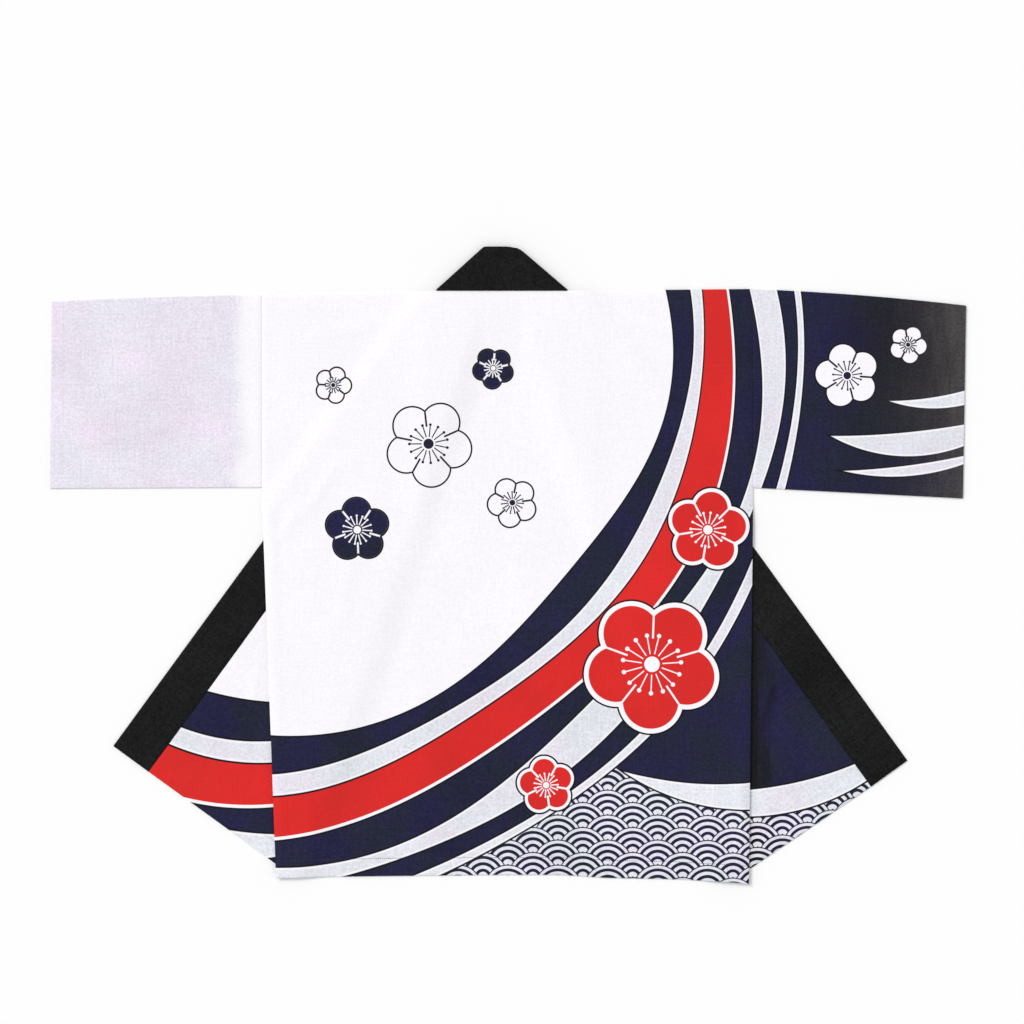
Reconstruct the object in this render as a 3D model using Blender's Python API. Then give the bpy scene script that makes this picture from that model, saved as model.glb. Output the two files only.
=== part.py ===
"""A happi coat laid flat with its back up and both fronts turned out at the sides.

Blender 4.5, metres, +Z up. The coat lies on z = 0 with its neck towards +Y. The origin is on
that surface, at the middle of the coat's plan. Every panel is a thin wall in the place where the
laid cloth has it. From the floor up, the layers are the turned-out part of each front with its
length of collar, the part of each front that stays under the back, and the back. A front passes
from the second layer to the first round a fold, and the collar does the same twice, once at the
side of the neck and once with the front.
"""

import math

import bmesh
import bpy
from mathutils import Vector

# Walls and the air between them.
CLOTH = 0.0012
BAND = 0.0024
HEM = 0.0024
LAYER_GAP = 0.0004
SEAM_GAP = 0.0003

# A fold turns round this radius, measured to the middle of the wall.
FOLD_RADIUS = 0.0016
FOLD_STEPS = 12
FOLD_ARC = math.pi * FOLD_RADIUS
LAYER_RISE = 2 * FOLD_RADIUS

# Collar and hems.
BAND_WIDTH = 0.0575
HEM_DEPTH = 0.0235
HEM_STEP = 0.002
NECK_Y = 0.3735
CENTRE_BACK_X = -0.011
FOLD_BELOW_PEAK = 0.011
BAND_ROWS = 16
BAND_EASE_LENGTH = 0.42
NECK_EASE_LENGTH = 0.16
SEAM_RAMP = (0.022, 0.013, 0.004)
FRONT_TUCK = 0.0006
FRONT_HEM_SHORT = 0.0035
FRONT_CUTS_OUT = (0.14, 0.20, 0.27)
FRONT_CUTS_UP = (0.34, 0.29, 0.20, 0.0, -0.2)

# Slopes of the cloth where it comes down from what lies under it.
RAMP_STEPS = 5
BAND_RAMP = (-0.044, -0.015)
FOLD_RAMP = (-0.052, -0.006)
NECK_SIDE_RAMP = (0.145, 0.106)
NECK_DOWN_RAMP = (NECK_Y - 0.135, NECK_Y - 0.012)

# Sleeve tube.
SLEEVE_RADIUS = (CLOTH + LAYER_GAP) / 2
SLEEVE_STATIONS = 6
SLEEVE_FLAT_STEPS = 4
SLEEVE_FOLD_STEPS = 8

SHORTEST_EDGE = 0.0001

# The height of the back's hem line above its two corners, along the hem from left to right.
HEM_RISE = (
    {"share": 0.19, "rise": 0.0034},
    {"share": 0.49, "rise": 0.0079},
    {"share": 0.60, "rise": 0.0087},
    {"share": 0.70, "rise": 0.0054},
    {"share": 0.82, "rise": 0.0049},
    {"share": 0.96, "rise": 0.0024},
)

# Points of each half, as distances out from x = 0 and along y.
SIDES = (
    {
        "name": "left",
        "sign": -1,
        "neck_out": 0.0995,
        "peak_out": 0.0334,
        "shoulder": (0.3353, 0.3680),
        "underarm": (0.3353, 0.1056),
        "hem_corner": (0.3157, -0.4259),
        "fold_foot": (0.2990, -0.4240),
        "band_tip": (0.5377, -0.2466),
        "band_angle": 53.87,
        "cuff_top": (0.6212, 0.3590),
        "cuff_bottom": (0.6240, 0.1041),
        "sleeve_crown": 0.0015,
    },
    {
        "name": "right",
        "sign": 1,
        "neck_out": 0.0795,
        "peak_out": 0.0097,
        "shoulder": (0.3326, 0.3760),
        "underarm": (0.3339, 0.1052),
        "hem_corner": (0.3279, -0.4340),
        "fold_foot": (0.3050, -0.4325),
        "band_tip": (0.5441, -0.2663),
        "band_angle": 54.2,
        "cuff_top": (0.6240, 0.3536),
        "cuff_bottom": (0.6196, 0.0906),
        "sleeve_crown": 0.0030,
    },
)

COLOURS = {
    "cloth": (0.86, 0.85, 0.88, 1.0),
    "navy": (0.020, 0.022, 0.054, 1.0),
    "collar": (0.012, 0.012, 0.013, 1.0),
}


def smooth(value, start, end):
    """0 at start, 1 at end, and soft at both."""
    share = min(max((value - start) / (end - start), 0.0), 1.0)
    return share * share * (3 - 2 * share)


def spaced(start, end, steps):
    """steps + 1 even values from start to end."""
    return [start + (end - start) * k / steps for k in range(steps + 1)]


def distance_to_stretch(point, start, end):
    """How far a point is from a straight stretch."""
    along = end - start
    share = min(max((point - start).dot(along) / along.length_squared, 0.0), 1.0)
    return (point - start - share * along).length


class Side:
    """One half of the coat, in its own plan, where the first coordinate is the way out."""

    def __init__(self, row):
        self.row = row
        self.name = row["name"]
        self.sign = row["sign"]
        self.shoulder = Vector(row["shoulder"])
        self.underarm = Vector(row["underarm"])
        self.hem_corner = Vector(row["hem_corner"])
        self.front_corner = self.hem_corner + Vector((-FRONT_TUCK, FRONT_HEM_SHORT))
        self.place_mitre()
        self.place_fold()
        self.place_band()

    def place_mitre(self):
        """The slanting fold at the side of the neck, set back so that its round edge meets the outline."""
        neck = Vector((self.row["neck_out"], NECK_Y))
        peak = Vector((self.row["peak_out"], NECK_Y + BAND_WIDTH))
        along = (peak - neck).normalized()
        self.mitre_out = Vector((along.y, -along.x))
        inset = Vector(((FOLD_RADIUS + BAND / 2) / self.mitre_out.x, 0))
        self.neck = neck - inset
        self.peak = peak - inset

    def place_fold(self):
        """The long fold of the front, from the hem to just under the top of the collar."""
        self.fold_foot = Vector(self.row["fold_foot"])
        head = self.peak - Vector((0, FOLD_BELOW_PEAK))
        self.fold_along = (head - self.fold_foot).normalized()
        self.fold_out = Vector((self.fold_along.y, -self.fold_along.x))

    def place_band(self):
        """The two edges of the collar's leg, as they lie before the front is turned out."""
        angle = math.radians(self.row["band_angle"])
        self.band_tip = Vector(self.row["band_tip"])
        self.band_in = Vector((-math.sin(angle), -math.cos(angle)))
        laid_up = Vector((-math.cos(angle), math.sin(angle)))
        self.band_end = self.unfold(self.band_tip)
        self.band_up = laid_up - 2 * laid_up.dot(self.fold_out) * self.fold_out
        self.band_length = (self.peak - self.band_end).dot(self.band_up)
        self.rows = [self.band_row(down) for down in spaced(0, self.band_length, BAND_ROWS)]

    def unfold(self, laid):
        """Where a point of the turned-out layer lies before its front is turned out."""
        reach = (laid - self.fold_foot).dot(self.fold_out)
        return laid - (2 * reach + FOLD_ARC) * self.fold_out

    def free_edge(self, down):
        """The collar's free edge, down from its top: straight, and eased in to meet the top."""
        line = self.band_end + (self.band_length - down) * self.band_up
        top = self.band_end + self.band_length * self.band_up
        return line + max(0.0, 1 - down / BAND_EASE_LENGTH) ** 2 * (self.peak - top)

    def seam_edge(self, down):
        """The place across the collar from its free edge."""
        way = (self.free_edge(down + 1e-4) - self.free_edge(down - 1e-4)).normalized()
        return self.free_edge(down) + BAND_WIDTH * Vector((-way.y, way.x))

    def band_row(self, down):
        """A line across the collar's leg, as (its seam end, its free end), slanting at the neck."""
        slant = self.peak.y - self.neck.y
        seam = self.seam_edge(down + slant * (1 - down / self.band_length))
        ease = max(0.0, 1 - down / NECK_EASE_LENGTH) ** 2
        return seam + ease * (self.neck - self.seam_edge(slant)), self.free_edge(down)

    def from_fold(self, point):
        """How far out from the front's fold a point is."""
        return (point - self.fold_foot).dot(self.fold_out)

    def from_band(self, point):
        """How far in from the free edge of the turned-out collar a point is."""
        return (point - self.band_tip).dot(self.band_in)

    def turn_front(self, point, middle):
        """The laid place of a point of a front or its collar, middle over the lowest of its layers."""
        past = -self.from_fold(point)
        foot = point + past * self.fold_out
        if past <= 0:
            return point, middle + LAYER_RISE * self.lift(point)
        if past < FOLD_ARC:
            angle = past / FOLD_RADIUS
            height = middle + FOLD_RADIUS * (1 + math.cos(angle))
            return foot - FOLD_RADIUS * math.sin(angle) * self.fold_out, height
        return foot + (past - FOLD_ARC) * self.fold_out, middle

    def beside_collar(self, point):
        """1 where a front meets the collar, and 0 away from that seam."""
        gaps = [distance_to_stretch(point, a[0], b[0]) for a, b in zip(self.rows, self.rows[1:])]
        return smooth(min(gaps), SEAM_RAMP[0], SEAM_RAMP[-1])

    def turn_neck(self, point):
        """The laid place of a point of the collar that is past the slanting fold."""
        past = (point - self.neck).dot(self.mitre_out)
        foot = point - past * self.mitre_out
        base = BAND / 2 + LAYER_RISE
        if past < FOLD_ARC:
            angle = past / FOLD_RADIUS
            height = base + FOLD_RADIUS * (1 - math.cos(angle))
            return foot + FOLD_RADIUS * math.sin(angle) * self.mitre_out, height
        return foot - (past - FOLD_ARC) * self.mitre_out, base + LAYER_RISE

    def lift(self, point):
        """1 over the turned-out layer and its edge, and 0 where nothing lies underneath."""
        return smooth(self.from_band(point), *BAND_RAMP)

    def back_height(self, point):
        """How high the underside of the back is held by this half."""
        held = smooth(self.from_fold(point), *FOLD_RAMP)
        over_band = smooth(point.x, *NECK_SIDE_RAMP)
        front_top = LAYER_RISE * self.lift(point) + CLOTH + LAYER_GAP
        return held * (front_top + (BAND - CLOTH) * over_band)

    def neck_height(self, point):
        """How high the underside of the back is held where it meets the collar."""
        full = LAYER_RISE + BAND + LAYER_GAP
        return full * smooth(point.y, *NECK_DOWN_RAMP) * smooth(point.x, *NECK_SIDE_RAMP)


def cut(bm, point, normal):
    """Cuts the flat sheet along the line through point that normal stands on."""
    geometry = bm.verts[:] + bm.edges[:] + bm.faces[:]
    bmesh.ops.bisect_plane(
        bm,
        geom=geometry,
        dist=1e-6,
        plane_co=(point.x, point.y, 0),
        plane_no=(normal.x, normal.y, 0),
    )


def flat_sheet(outlines):
    """A flat mesh with one face for each outline, and shared points where they meet."""
    bm = bmesh.new()
    for outline in outlines:
        bm.faces.new([bm.verts.new((x, y, 0)) for x, y in outline])
    bmesh.ops.remove_doubles(bm, verts=bm.verts[:], dist=1e-6)
    return bm


def lay_sheet(bm, place):
    """Both skins of the wall at each point of a flat sheet, and the faces between those points.

    place gives the middle of the wall and its thickness for a point of the flat sheet.
    """
    bmesh.ops.remove_doubles(bm, verts=bm.verts[:], dist=SHORTEST_EDGE)
    bmesh.ops.triangulate(bm, faces=bm.faces[:])
    bmesh.ops.recalc_face_normals(bm, faces=bm.faces[:])
    bm.verts.index_update()
    skins = []
    for vert in bm.verts:
        point = vert.co.xy
        middle, wall = place(point)
        across, along = (
            place(point + step)[0] - place(point - step)[0] for step in (Vector((1e-5, 0)), Vector((0, 1e-5)))
        )
        half = across.cross(along).normalized() * wall / 2
        skins.append((middle + half, middle - half))
    faces = [[v.index for v in face.verts] for face in bm.faces]
    rim = [[v.index for v in edge.verts] for edge in bm.edges if edge.is_boundary]
    bm.free()
    return skins, faces, rim


def wall_object(name, sheets, collection, colour, joint_x=None):
    """One closed wall from the laid sheets, which are joined to each other at joint_x."""
    bm = bmesh.new()
    for skins, faces, rim in sheets:
        upper = [bm.verts.new(skin[0]) for skin in skins]
        lower = [bm.verts.new(skin[1]) for skin in skins]
        for face in faces:
            bm.faces.new([upper[k] for k in face])
            bm.faces.new([lower[k] for k in reversed(face)])
        for a, b in rim:
            ends = [skins[a][0].x, skins[b][0].x]
            if joint_x is None or any(abs(x - joint_x) > 1e-6 for x in ends):
                bm.faces.new([upper[a], upper[b], lower[b], lower[a]])
    bmesh.ops.remove_doubles(bm, verts=bm.verts[:], dist=1e-6)
    bmesh.ops.recalc_face_normals(bm, faces=bm.faces[:])
    mesh = bpy.data.meshes.new(name)
    bm.to_mesh(mesh)
    bm.free()
    piece = bpy.data.objects.new(name, mesh)
    collection.objects.link(piece)
    mesh.materials.append(cloth_material(colour))
    return piece


def cloth_material(colour):
    """A plain cotton finish."""
    material = bpy.data.materials.get(colour)
    if material is None:
        material = bpy.data.materials.new(colour)
        material.use_nodes = True
        shader = material.node_tree.nodes["Principled BSDF"]
        shader.inputs["Base Color"].default_value = COLOURS[colour]
        shader.inputs["Roughness"].default_value = 0.85
        shader.inputs["Metallic"].default_value = 0.0
    return material


def hem_line():
    """The back's hem from its left corner to its right one, in x and y."""
    left, right = (Vector((s.sign * s.hem_corner.x, s.hem_corner.y)) for s in HALVES)
    inner = [left.lerp(right, row["share"]) + Vector((0, row["rise"])) for row in HEM_RISE]
    return [left, *inner, right]


def hem_wall(height, plain):
    """The wall at this height over a hem line: turned up below the stitching, and single above it."""
    return plain + (HEM - plain) * (1 - smooth(height, HEM_DEPTH - HEM_STEP, HEM_DEPTH))


def hem_height(line, x):
    """The height of the hem line at x."""
    for start, end in zip(line, line[1:]):
        if x <= end.x or end is line[-1]:
            return start.y + (end.y - start.y) * (x - start.x) / (end.x - start.x)
    return line[-1].y


def build_back(collection):
    """The back panel, lying over both fronts and down to the floor between them."""
    left, right = HALVES
    line = hem_line()
    top = NECK_Y - SEAM_GAP
    outline = [tuple(point) for point in line]
    outline += [tuple(right.underarm), tuple(right.shoulder)]
    outline += [(right.neck.x, top), (-left.neck.x, top)]
    outline += [(-p.x, p.y) for p in (left.shoulder, left.underarm)]
    bm = flat_sheet([outline])
    for side in HALVES:
        flip = Vector((side.sign, 1))
        for reach in spaced(*BAND_RAMP, RAMP_STEPS):
            cut(bm, (side.band_tip + reach * side.band_in) * flip, side.band_in * flip)
        for reach in spaced(*FOLD_RAMP, RAMP_STEPS):
            cut(bm, (side.fold_foot + reach * side.fold_out) * flip, side.fold_out * flip)
        for reach in spaced(*NECK_SIDE_RAMP, RAMP_STEPS - 2):
            cut(bm, Vector((side.sign * reach, 0)), Vector((1, 0)))
    for height in spaced(*NECK_DOWN_RAMP, RAMP_STEPS):
        cut(bm, Vector((0, height)), Vector((0, 1)))
    for start, end in zip(line, line[1:]):
        cut(bm, end, Vector((1, 0)))
    for depth in (HEM_DEPTH - HEM_STEP, HEM_DEPTH):
        for start, end in zip(line, line[1:]):
            cut_between(bm, start, end, depth)

    def place(point):
        halves = [(side, Vector((side.sign * point.x, point.y))) for side in HALVES]
        held = max(side.back_height(there) for side, there in halves)
        neck = min(side.neck_height(there) for side, there in halves)
        wall = hem_wall(point.y - hem_height(line, point.x), CLOTH)
        return Vector((point.x, point.y, max(held, neck) + wall / 2)), wall

    return wall_object("back", [lay_sheet(bm, place)], collection, "cloth")


def cut_between(bm, start, end, depth):
    """Cuts only the faces over one stretch of the hem, along a line depth above it."""
    low, high = start.x - 1e-5, end.x + 1e-5
    faces = [f for f in bm.faces if all(low <= v.co.x <= high for v in f.verts)]
    edges = {edge for face in faces for edge in face.edges}
    verts = {vert for face in faces for vert in face.verts}
    along = end - start
    bmesh.ops.bisect_plane(
        bm,
        geom=[*verts, *edges, *faces],
        dist=1e-6,
        plane_co=(start.x, start.y + depth, 0),
        plane_no=(-along.y, along.x, 0),
    )


def beside_seam(rows, reach):
    """The line that runs reach into the front from the collar's seam."""
    seam = [row[0] for row in rows]
    line = []
    for before, point, after in zip([seam[0], *seam], seam, [*seam[1:], seam[-1]]):
        way = (before - after).orthogonal().normalized()
        line.append(point + reach * (way if way.x > 0 else -way))
    return line


def build_front(side, collection):
    """A front panel: under the back beside its fold, and turned out past the side below it."""
    lines = [beside_seam(side.rows, reach) for reach in (SEAM_GAP, *SEAM_RAMP[::-1])]
    top = Vector((lines[0][0].x, NECK_Y - SEAM_GAP))
    for line in lines:
        line[0].y = min(line[0].y, top.y)
    hem_up = (lines[0][-1] - side.front_corner).orthogonal().normalized()
    if hem_up.y < 0:
        hem_up.negate()
    neck_edge = [line[0] for line in lines]
    tuck = Vector((FRONT_TUCK, 0))
    outer = [side.front_corner, side.underarm - tuck, side.shoulder - tuck]
    outlines = [[*outer, top, *neck_edge[1:], *lines[-1][1:]]]
    for near, far in zip(lines, lines[1:]):
        outlines += [[near[k], far[k], far[k + 1], near[k + 1]] for k in range(len(near) - 1)]
    bm = flat_sheet([[tuple(point) for point in outline] for outline in outlines])
    for out in FRONT_CUTS_OUT:
        cut(bm, Vector((out, 0)), Vector((1, 0)))
    for height in FRONT_CUTS_UP:
        cut(bm, Vector((0, height)), Vector((0, 1)))
    for reach in spaced(*BAND_RAMP, RAMP_STEPS):
        cut(bm, side.band_tip + reach * side.band_in, side.band_in)
    for reach in spaced(0, -FOLD_ARC, FOLD_STEPS):
        cut(bm, side.fold_foot + reach * side.fold_out, side.fold_out)
    for depth in (HEM_DEPTH - HEM_STEP, HEM_DEPTH):
        cut(bm, side.front_corner + depth * hem_up, hem_up)

    def place(point):
        turned = side.from_fold(point) <= -FOLD_ARC - 1e-5
        wall = hem_wall((point - side.front_corner).dot(hem_up), CLOTH) if turned else CLOTH
        middle = wall / 2 + (BAND - wall) / 2 * side.beside_collar(point)
        laid, height = side.turn_front(point, middle)
        return Vector((side.sign * laid.x, laid.y, height)), wall

    return wall_object("front_" + side.name, [lay_sheet(bm, place)], collection, "navy")


def collar_half(side):
    """Half of the collar, from the centre of the back neck round the mitre and down a front."""
    centre = side.sign * CENTRE_BACK_X
    middle = [Vector((centre, NECK_Y)), Vector((centre, NECK_Y + BAND_WIDTH))]
    past = [(point - side.neck).dot(side.mitre_out) for point in middle]
    unfolded = [p + (FOLD_ARC - 2 * g) * side.mitre_out for p, g in zip(middle, past)]
    mitre = [side.neck, side.peak]
    roll_end = [point + FOLD_ARC * side.mitre_out for point in mitre]
    neck_rows = [unfolded, roll_end, mitre]
    rows = neck_rows + [list(row) for row in side.rows[1:]]
    quads = [[a[0], a[1], b[1], b[0]] for a, b in zip(rows, rows[1:])]
    bm = flat_sheet([[tuple(point) for point in quad] for quad in quads])
    for reach in spaced(0, FOLD_ARC, FOLD_STEPS):
        cut(bm, side.neck + reach * side.mitre_out, side.mitre_out)
    for reach in spaced(0, -FOLD_ARC, FOLD_STEPS):
        cut(bm, side.fold_foot + reach * side.fold_out, side.fold_out)

    def place(point):
        if (point - side.neck).dot(side.mitre_out) > 1e-6:
            laid, height = side.turn_neck(point)
        else:
            laid, height = side.turn_front(point, BAND / 2)
        return Vector((side.sign * laid.x, laid.y, height)), BAND

    return lay_sheet(bm, place)


def build_collar(collection):
    """The collar, one long band from hem to hem round the neck."""
    halves = [collar_half(side) for side in HALVES]
    return wall_object("collar", halves, collection, "collar", joint_x=CENTRE_BACK_X)


def sleeve_ring(low, high, radius):
    """A line round the flat tube at one station, radius out from the middle of each of its edges."""
    along = (high - low).normalized()
    inset = (SLEEVE_RADIUS + CLOTH / 2) * along
    start, end = low + inset, high - inset
    level = CLOTH / 2 + SLEEVE_RADIUS
    ring = []
    for near, far, way in ((start, end, along), (end, start, -along)):
        turn = -1 if way is along else 1
        for share in spaced(0, 1, SLEEVE_FLAT_STEPS)[:-1]:
            ring.append((near.lerp(far, share), level + turn * radius))
        for angle in spaced(0, math.pi, SLEEVE_FOLD_STEPS)[:-1]:
            ring.append((far + radius * math.sin(angle) * way, level + turn * radius * math.cos(angle)))
    return ring


def build_sleeve(side, collection):
    """A straight sleeve, a flat tube that is open at the armhole and at the cuff."""
    gap = Vector((SEAM_GAP, 0))
    cuff_low, cuff_high = Vector(side.row["cuff_bottom"]), Vector(side.row["cuff_top"])
    bm = bmesh.new()
    skins = []
    for radius in (SLEEVE_RADIUS + CLOTH / 2, SLEEVE_RADIUS - CLOTH / 2):
        rings = []
        for share in spaced(0, 1, SLEEVE_STATIONS):
            low = (side.underarm + gap).lerp(cuff_low, share)
            high = (side.shoulder + gap).lerp(cuff_high, share)
            crown = side.row["sleeve_crown"] * 4 * share * (1 - share)
            ring = sleeve_ring(low, high + Vector((0, crown)), radius)
            rings.append([bm.verts.new((side.sign * p.x, p.y, z)) for p, z in ring])
        skins.append(rings)
        for near, far in zip(rings, rings[1:]):
            join_rings(bm, near, far)
    for end in (0, -1):
        join_rings(bm, skins[0][end], skins[1][end])
    bmesh.ops.recalc_face_normals(bm, faces=bm.faces[:])
    mesh = bpy.data.meshes.new("sleeve_" + side.name)
    bm.to_mesh(mesh)
    bm.free()
    piece = bpy.data.objects.new("sleeve_" + side.name, mesh)
    collection.objects.link(piece)
    mesh.materials.append(cloth_material("cloth" if side.name == "left" else "navy"))
    return piece


def join_rings(bm, near, far):
    """A strip of faces between two closed lines of as many points."""
    for k in range(len(near)):
        after = (k + 1) % len(near)
        bm.faces.new([near[k], near[after], far[after], far[k]])


def build_coat():
    """The whole coat in a collection of its own."""
    for old in list(bpy.data.objects):
        bpy.data.objects.remove(old)
    collection = bpy.data.collections.new("happi_coat")
    bpy.context.scene.collection.children.link(collection)
    build_back(collection)
    build_collar(collection)
    for side in HALVES:
        build_front(side, collection)
        build_sleeve(side, collection)


HALVES = [Side(row) for row in SIDES]
build_coat()
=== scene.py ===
# %% [markdown]
# # A happi coat laid flat
# A happi is a straight-cut cotton coat for festivals. This one lies on its fronts, so the printed
# back shows, and both fronts are turned out at the sides. The lesson dresses a packed, plain model
# of it. The plain model fixes every size and place, and the cells below lay fine cloth over it.

# %% Load the plain coat
import math
from collections import namedtuple

import bmesh
import bpy
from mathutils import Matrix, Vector, noise


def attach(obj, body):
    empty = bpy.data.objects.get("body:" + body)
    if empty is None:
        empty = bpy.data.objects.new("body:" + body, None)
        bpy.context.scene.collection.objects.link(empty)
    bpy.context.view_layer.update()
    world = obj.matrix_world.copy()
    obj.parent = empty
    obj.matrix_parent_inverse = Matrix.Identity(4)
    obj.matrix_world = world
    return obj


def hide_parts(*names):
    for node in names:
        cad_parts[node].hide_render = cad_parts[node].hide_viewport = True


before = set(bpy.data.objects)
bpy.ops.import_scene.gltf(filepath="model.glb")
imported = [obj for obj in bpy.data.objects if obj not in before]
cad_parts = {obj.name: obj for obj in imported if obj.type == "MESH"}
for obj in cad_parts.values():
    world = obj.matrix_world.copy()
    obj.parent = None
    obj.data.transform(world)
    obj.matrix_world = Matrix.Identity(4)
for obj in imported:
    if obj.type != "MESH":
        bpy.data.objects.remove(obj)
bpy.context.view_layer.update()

# %% [markdown]
# ## Camera, table and light
# The photograph looks straight down, as a copy stand does. A long lens far away keeps the coat's
# sides upright in the picture. The table is a white sheet, and the light is a wide soft source from
# the upper left over an even white sky, so low folds still show a light side and a dark side.

# %% Camera over the middle of the picture
PICTURE_WIDTH = 1.3957
PICTURE_CENTRE = (0.0055, 0.0722)
LENS = 85
SENSOR = 36


def add_camera():
    """A camera that looks straight down with +Y up in the picture."""
    data = bpy.data.cameras.new("copy_stand_camera")
    data.lens = LENS
    data.sensor_width = SENSOR
    camera = bpy.data.objects.new("copy_stand_camera", data)
    camera.location = (*PICTURE_CENTRE, PICTURE_WIDTH * LENS / SENSOR)
    bpy.context.scene.collection.objects.link(camera)
    bpy.context.scene.camera = camera
    return camera


print("camera at", tuple(add_camera().location))

# %% A white sky and one soft key light
SKY = 0.70
KEY = 1.50
KEY_ANGLE = 24
KEY_FROM = (-0.75, 0.65, 1.0)


def add_light():
    """An even world, and a sun whose wide disc gives soft shadows."""
    world = bpy.data.worlds.new("white_sky")
    world.use_nodes = True
    sky = world.node_tree.nodes["Background"]
    sky.inputs["Color"].default_value = (1.0, 1.0, 1.0, 1.0)
    sky.inputs["Strength"].default_value = SKY
    bpy.context.scene.world = world
    data = bpy.data.lights.new("soft_key", "SUN")
    data.energy = KEY
    data.angle = math.radians(KEY_ANGLE)
    key = bpy.data.objects.new("soft_key", data)
    key.rotation_euler = Vector(KEY_FROM).to_track_quat("Z", "Y").to_euler()
    bpy.context.scene.collection.objects.link(key)
    return key


print("key light turned", tuple(add_light().rotation_euler))
bpy.context.scene.view_settings.view_transform = "Standard"

# %% [markdown]
# ## Sizes of the cut and of the layers
# The coat is one outline for each half, written as distances out from the middle line and along the
# body. The same rules as in the plain model say how the layers lie. From the table up come the
# turned-out part of each front, the part of each front that stays under the back, and the back. The
# cloth here is thinner than in the plain model, and its underside stays where it was.

# %% Walls, folds and slopes
CLOTH = 0.0009
BAND = 0.0020
HEM = 0.0017
PLAIN_CLOTH = 0.0012
PLAIN_BAND = 0.0024
LAYER_GAP = 0.0004
SEAM_GAP = 0.00006
FOLD_RADIUS = 0.0016
FOLD_ARC = math.pi * FOLD_RADIUS
LAYER_RISE = 2 * FOLD_RADIUS
BAND_WIDTH = 0.0575
HEM_DEPTH = 0.0235
NECK_Y = 0.3735
CENTRE_BACK_X = -0.011
FOLD_BELOW_PEAK = 0.011
BAND_EASE_LENGTH = 0.42
NECK_EASE_LENGTH = 0.16
SEAM_RAMP = (0.022, 0.004)
BAND_RAMP = (-0.044, -0.015)
FOLD_RAMP = (-0.052, -0.006)
NECK_SIDE_RAMP = (0.145, 0.106)
NECK_DOWN_RAMP = (NECK_Y - 0.135, NECK_Y - 0.012)
HEM_STEP_RAMP = (HEM_DEPTH + 0.0006, HEM_DEPTH - 0.0012)
FRONT_TUCK = 0.0006
FRONT_HEM_SHORT = 0.0035
SLEEVE_RADIUS = (PLAIN_CLOTH + LAYER_GAP) / 2
NUDGE = 1e-4

# %% The two halves, and how the hem rises between their corners
HALF_ROWS = (
    {
        "name": "left",
        "sign": -1,
        "neck_out": 0.0995,
        "peak_out": 0.0334,
        "shoulder": (0.3353, 0.3680),
        "underarm": (0.3353, 0.1056),
        "hem_corner": (0.3157, -0.4259),
        "fold_foot": (0.2990, -0.4240),
        "band_tip": (0.5377, -0.2466),
        "band_angle": 53.87,
        "band_flare": 0.0020,
        "cuff_top": (0.6212, 0.3590),
        "cuff_bottom": (0.6240, 0.1041),
        "sleeve_crown": 0.0015,
    },
    {
        "name": "right",
        "sign": 1,
        "neck_out": 0.0795,
        "peak_out": 0.0097,
        "shoulder": (0.3326, 0.3760),
        "underarm": (0.3339, 0.1052),
        "hem_corner": (0.3279, -0.4340),
        "fold_foot": (0.3050, -0.4325),
        "band_tip": (0.5441, -0.2663),
        "band_angle": 54.2,
        "band_flare": 0.0034,
        "cuff_top": (0.6240, 0.3536),
        "cuff_bottom": (0.6196, 0.0906),
        "sleeve_crown": 0.0030,
    },
)

# Each pair is a share of the way from the left corner to the right one, and a height.
HEM_RISE = (
    (0.19, 0.0034),
    (0.49, 0.0079),
    (0.60, 0.0087),
    (0.70, 0.0054),
    (0.82, 0.0049),
    (0.96, 0.0024),
)


# %% Soft steps, even steps and directions
def smooth(value, start, end):
    """0 at start, 1 at end, and soft at both."""
    share = min(max((value - start) / (end - start), 0.0), 1.0)
    return share * share * (3 - 2 * share)


def bell(value, width):
    """1 at 0, and soft down to 0 on both sides."""
    return math.exp(-((value / width) ** 2))


def ripple(*place):
    """Smooth noise from -1 to 1."""
    return noise.noise(Vector(place))


def spaced(start, end, steps):
    """steps + 1 even values from start to end."""
    return [start + (end - start) * k / steps for k in range(steps + 1)]


def along_path(points, share):
    """The point at this share of the way along a line of straight stretches."""
    lengths = [(b - a).length for a, b in zip(points, points[1:])]
    left = share * sum(lengths)
    for a, b, length in zip(points, points[1:], lengths):
        if left <= length or b is points[-1]:
            return a.lerp(b, min(left / length, 1.0))
        left -= length


def square_to(line, axis):
    """The way square to a line that points out (axis 0) or up (axis 1)."""
    way = line.orthogonal().normalized()
    return way if way[axis] > 0 else -way


# %% [markdown]
# ## One half of the coat
# A front starts at the side seam and runs under the back. Then it is turned over round a long fold,
# which slants from the hem up to the neck, and its lower part comes out past the side with the
# printed face up again. The collar goes with it, after one more slanting fold at the side of the
# neck. Each place on the laid coat is worked out from its place on the flat, cut cloth.


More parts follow.
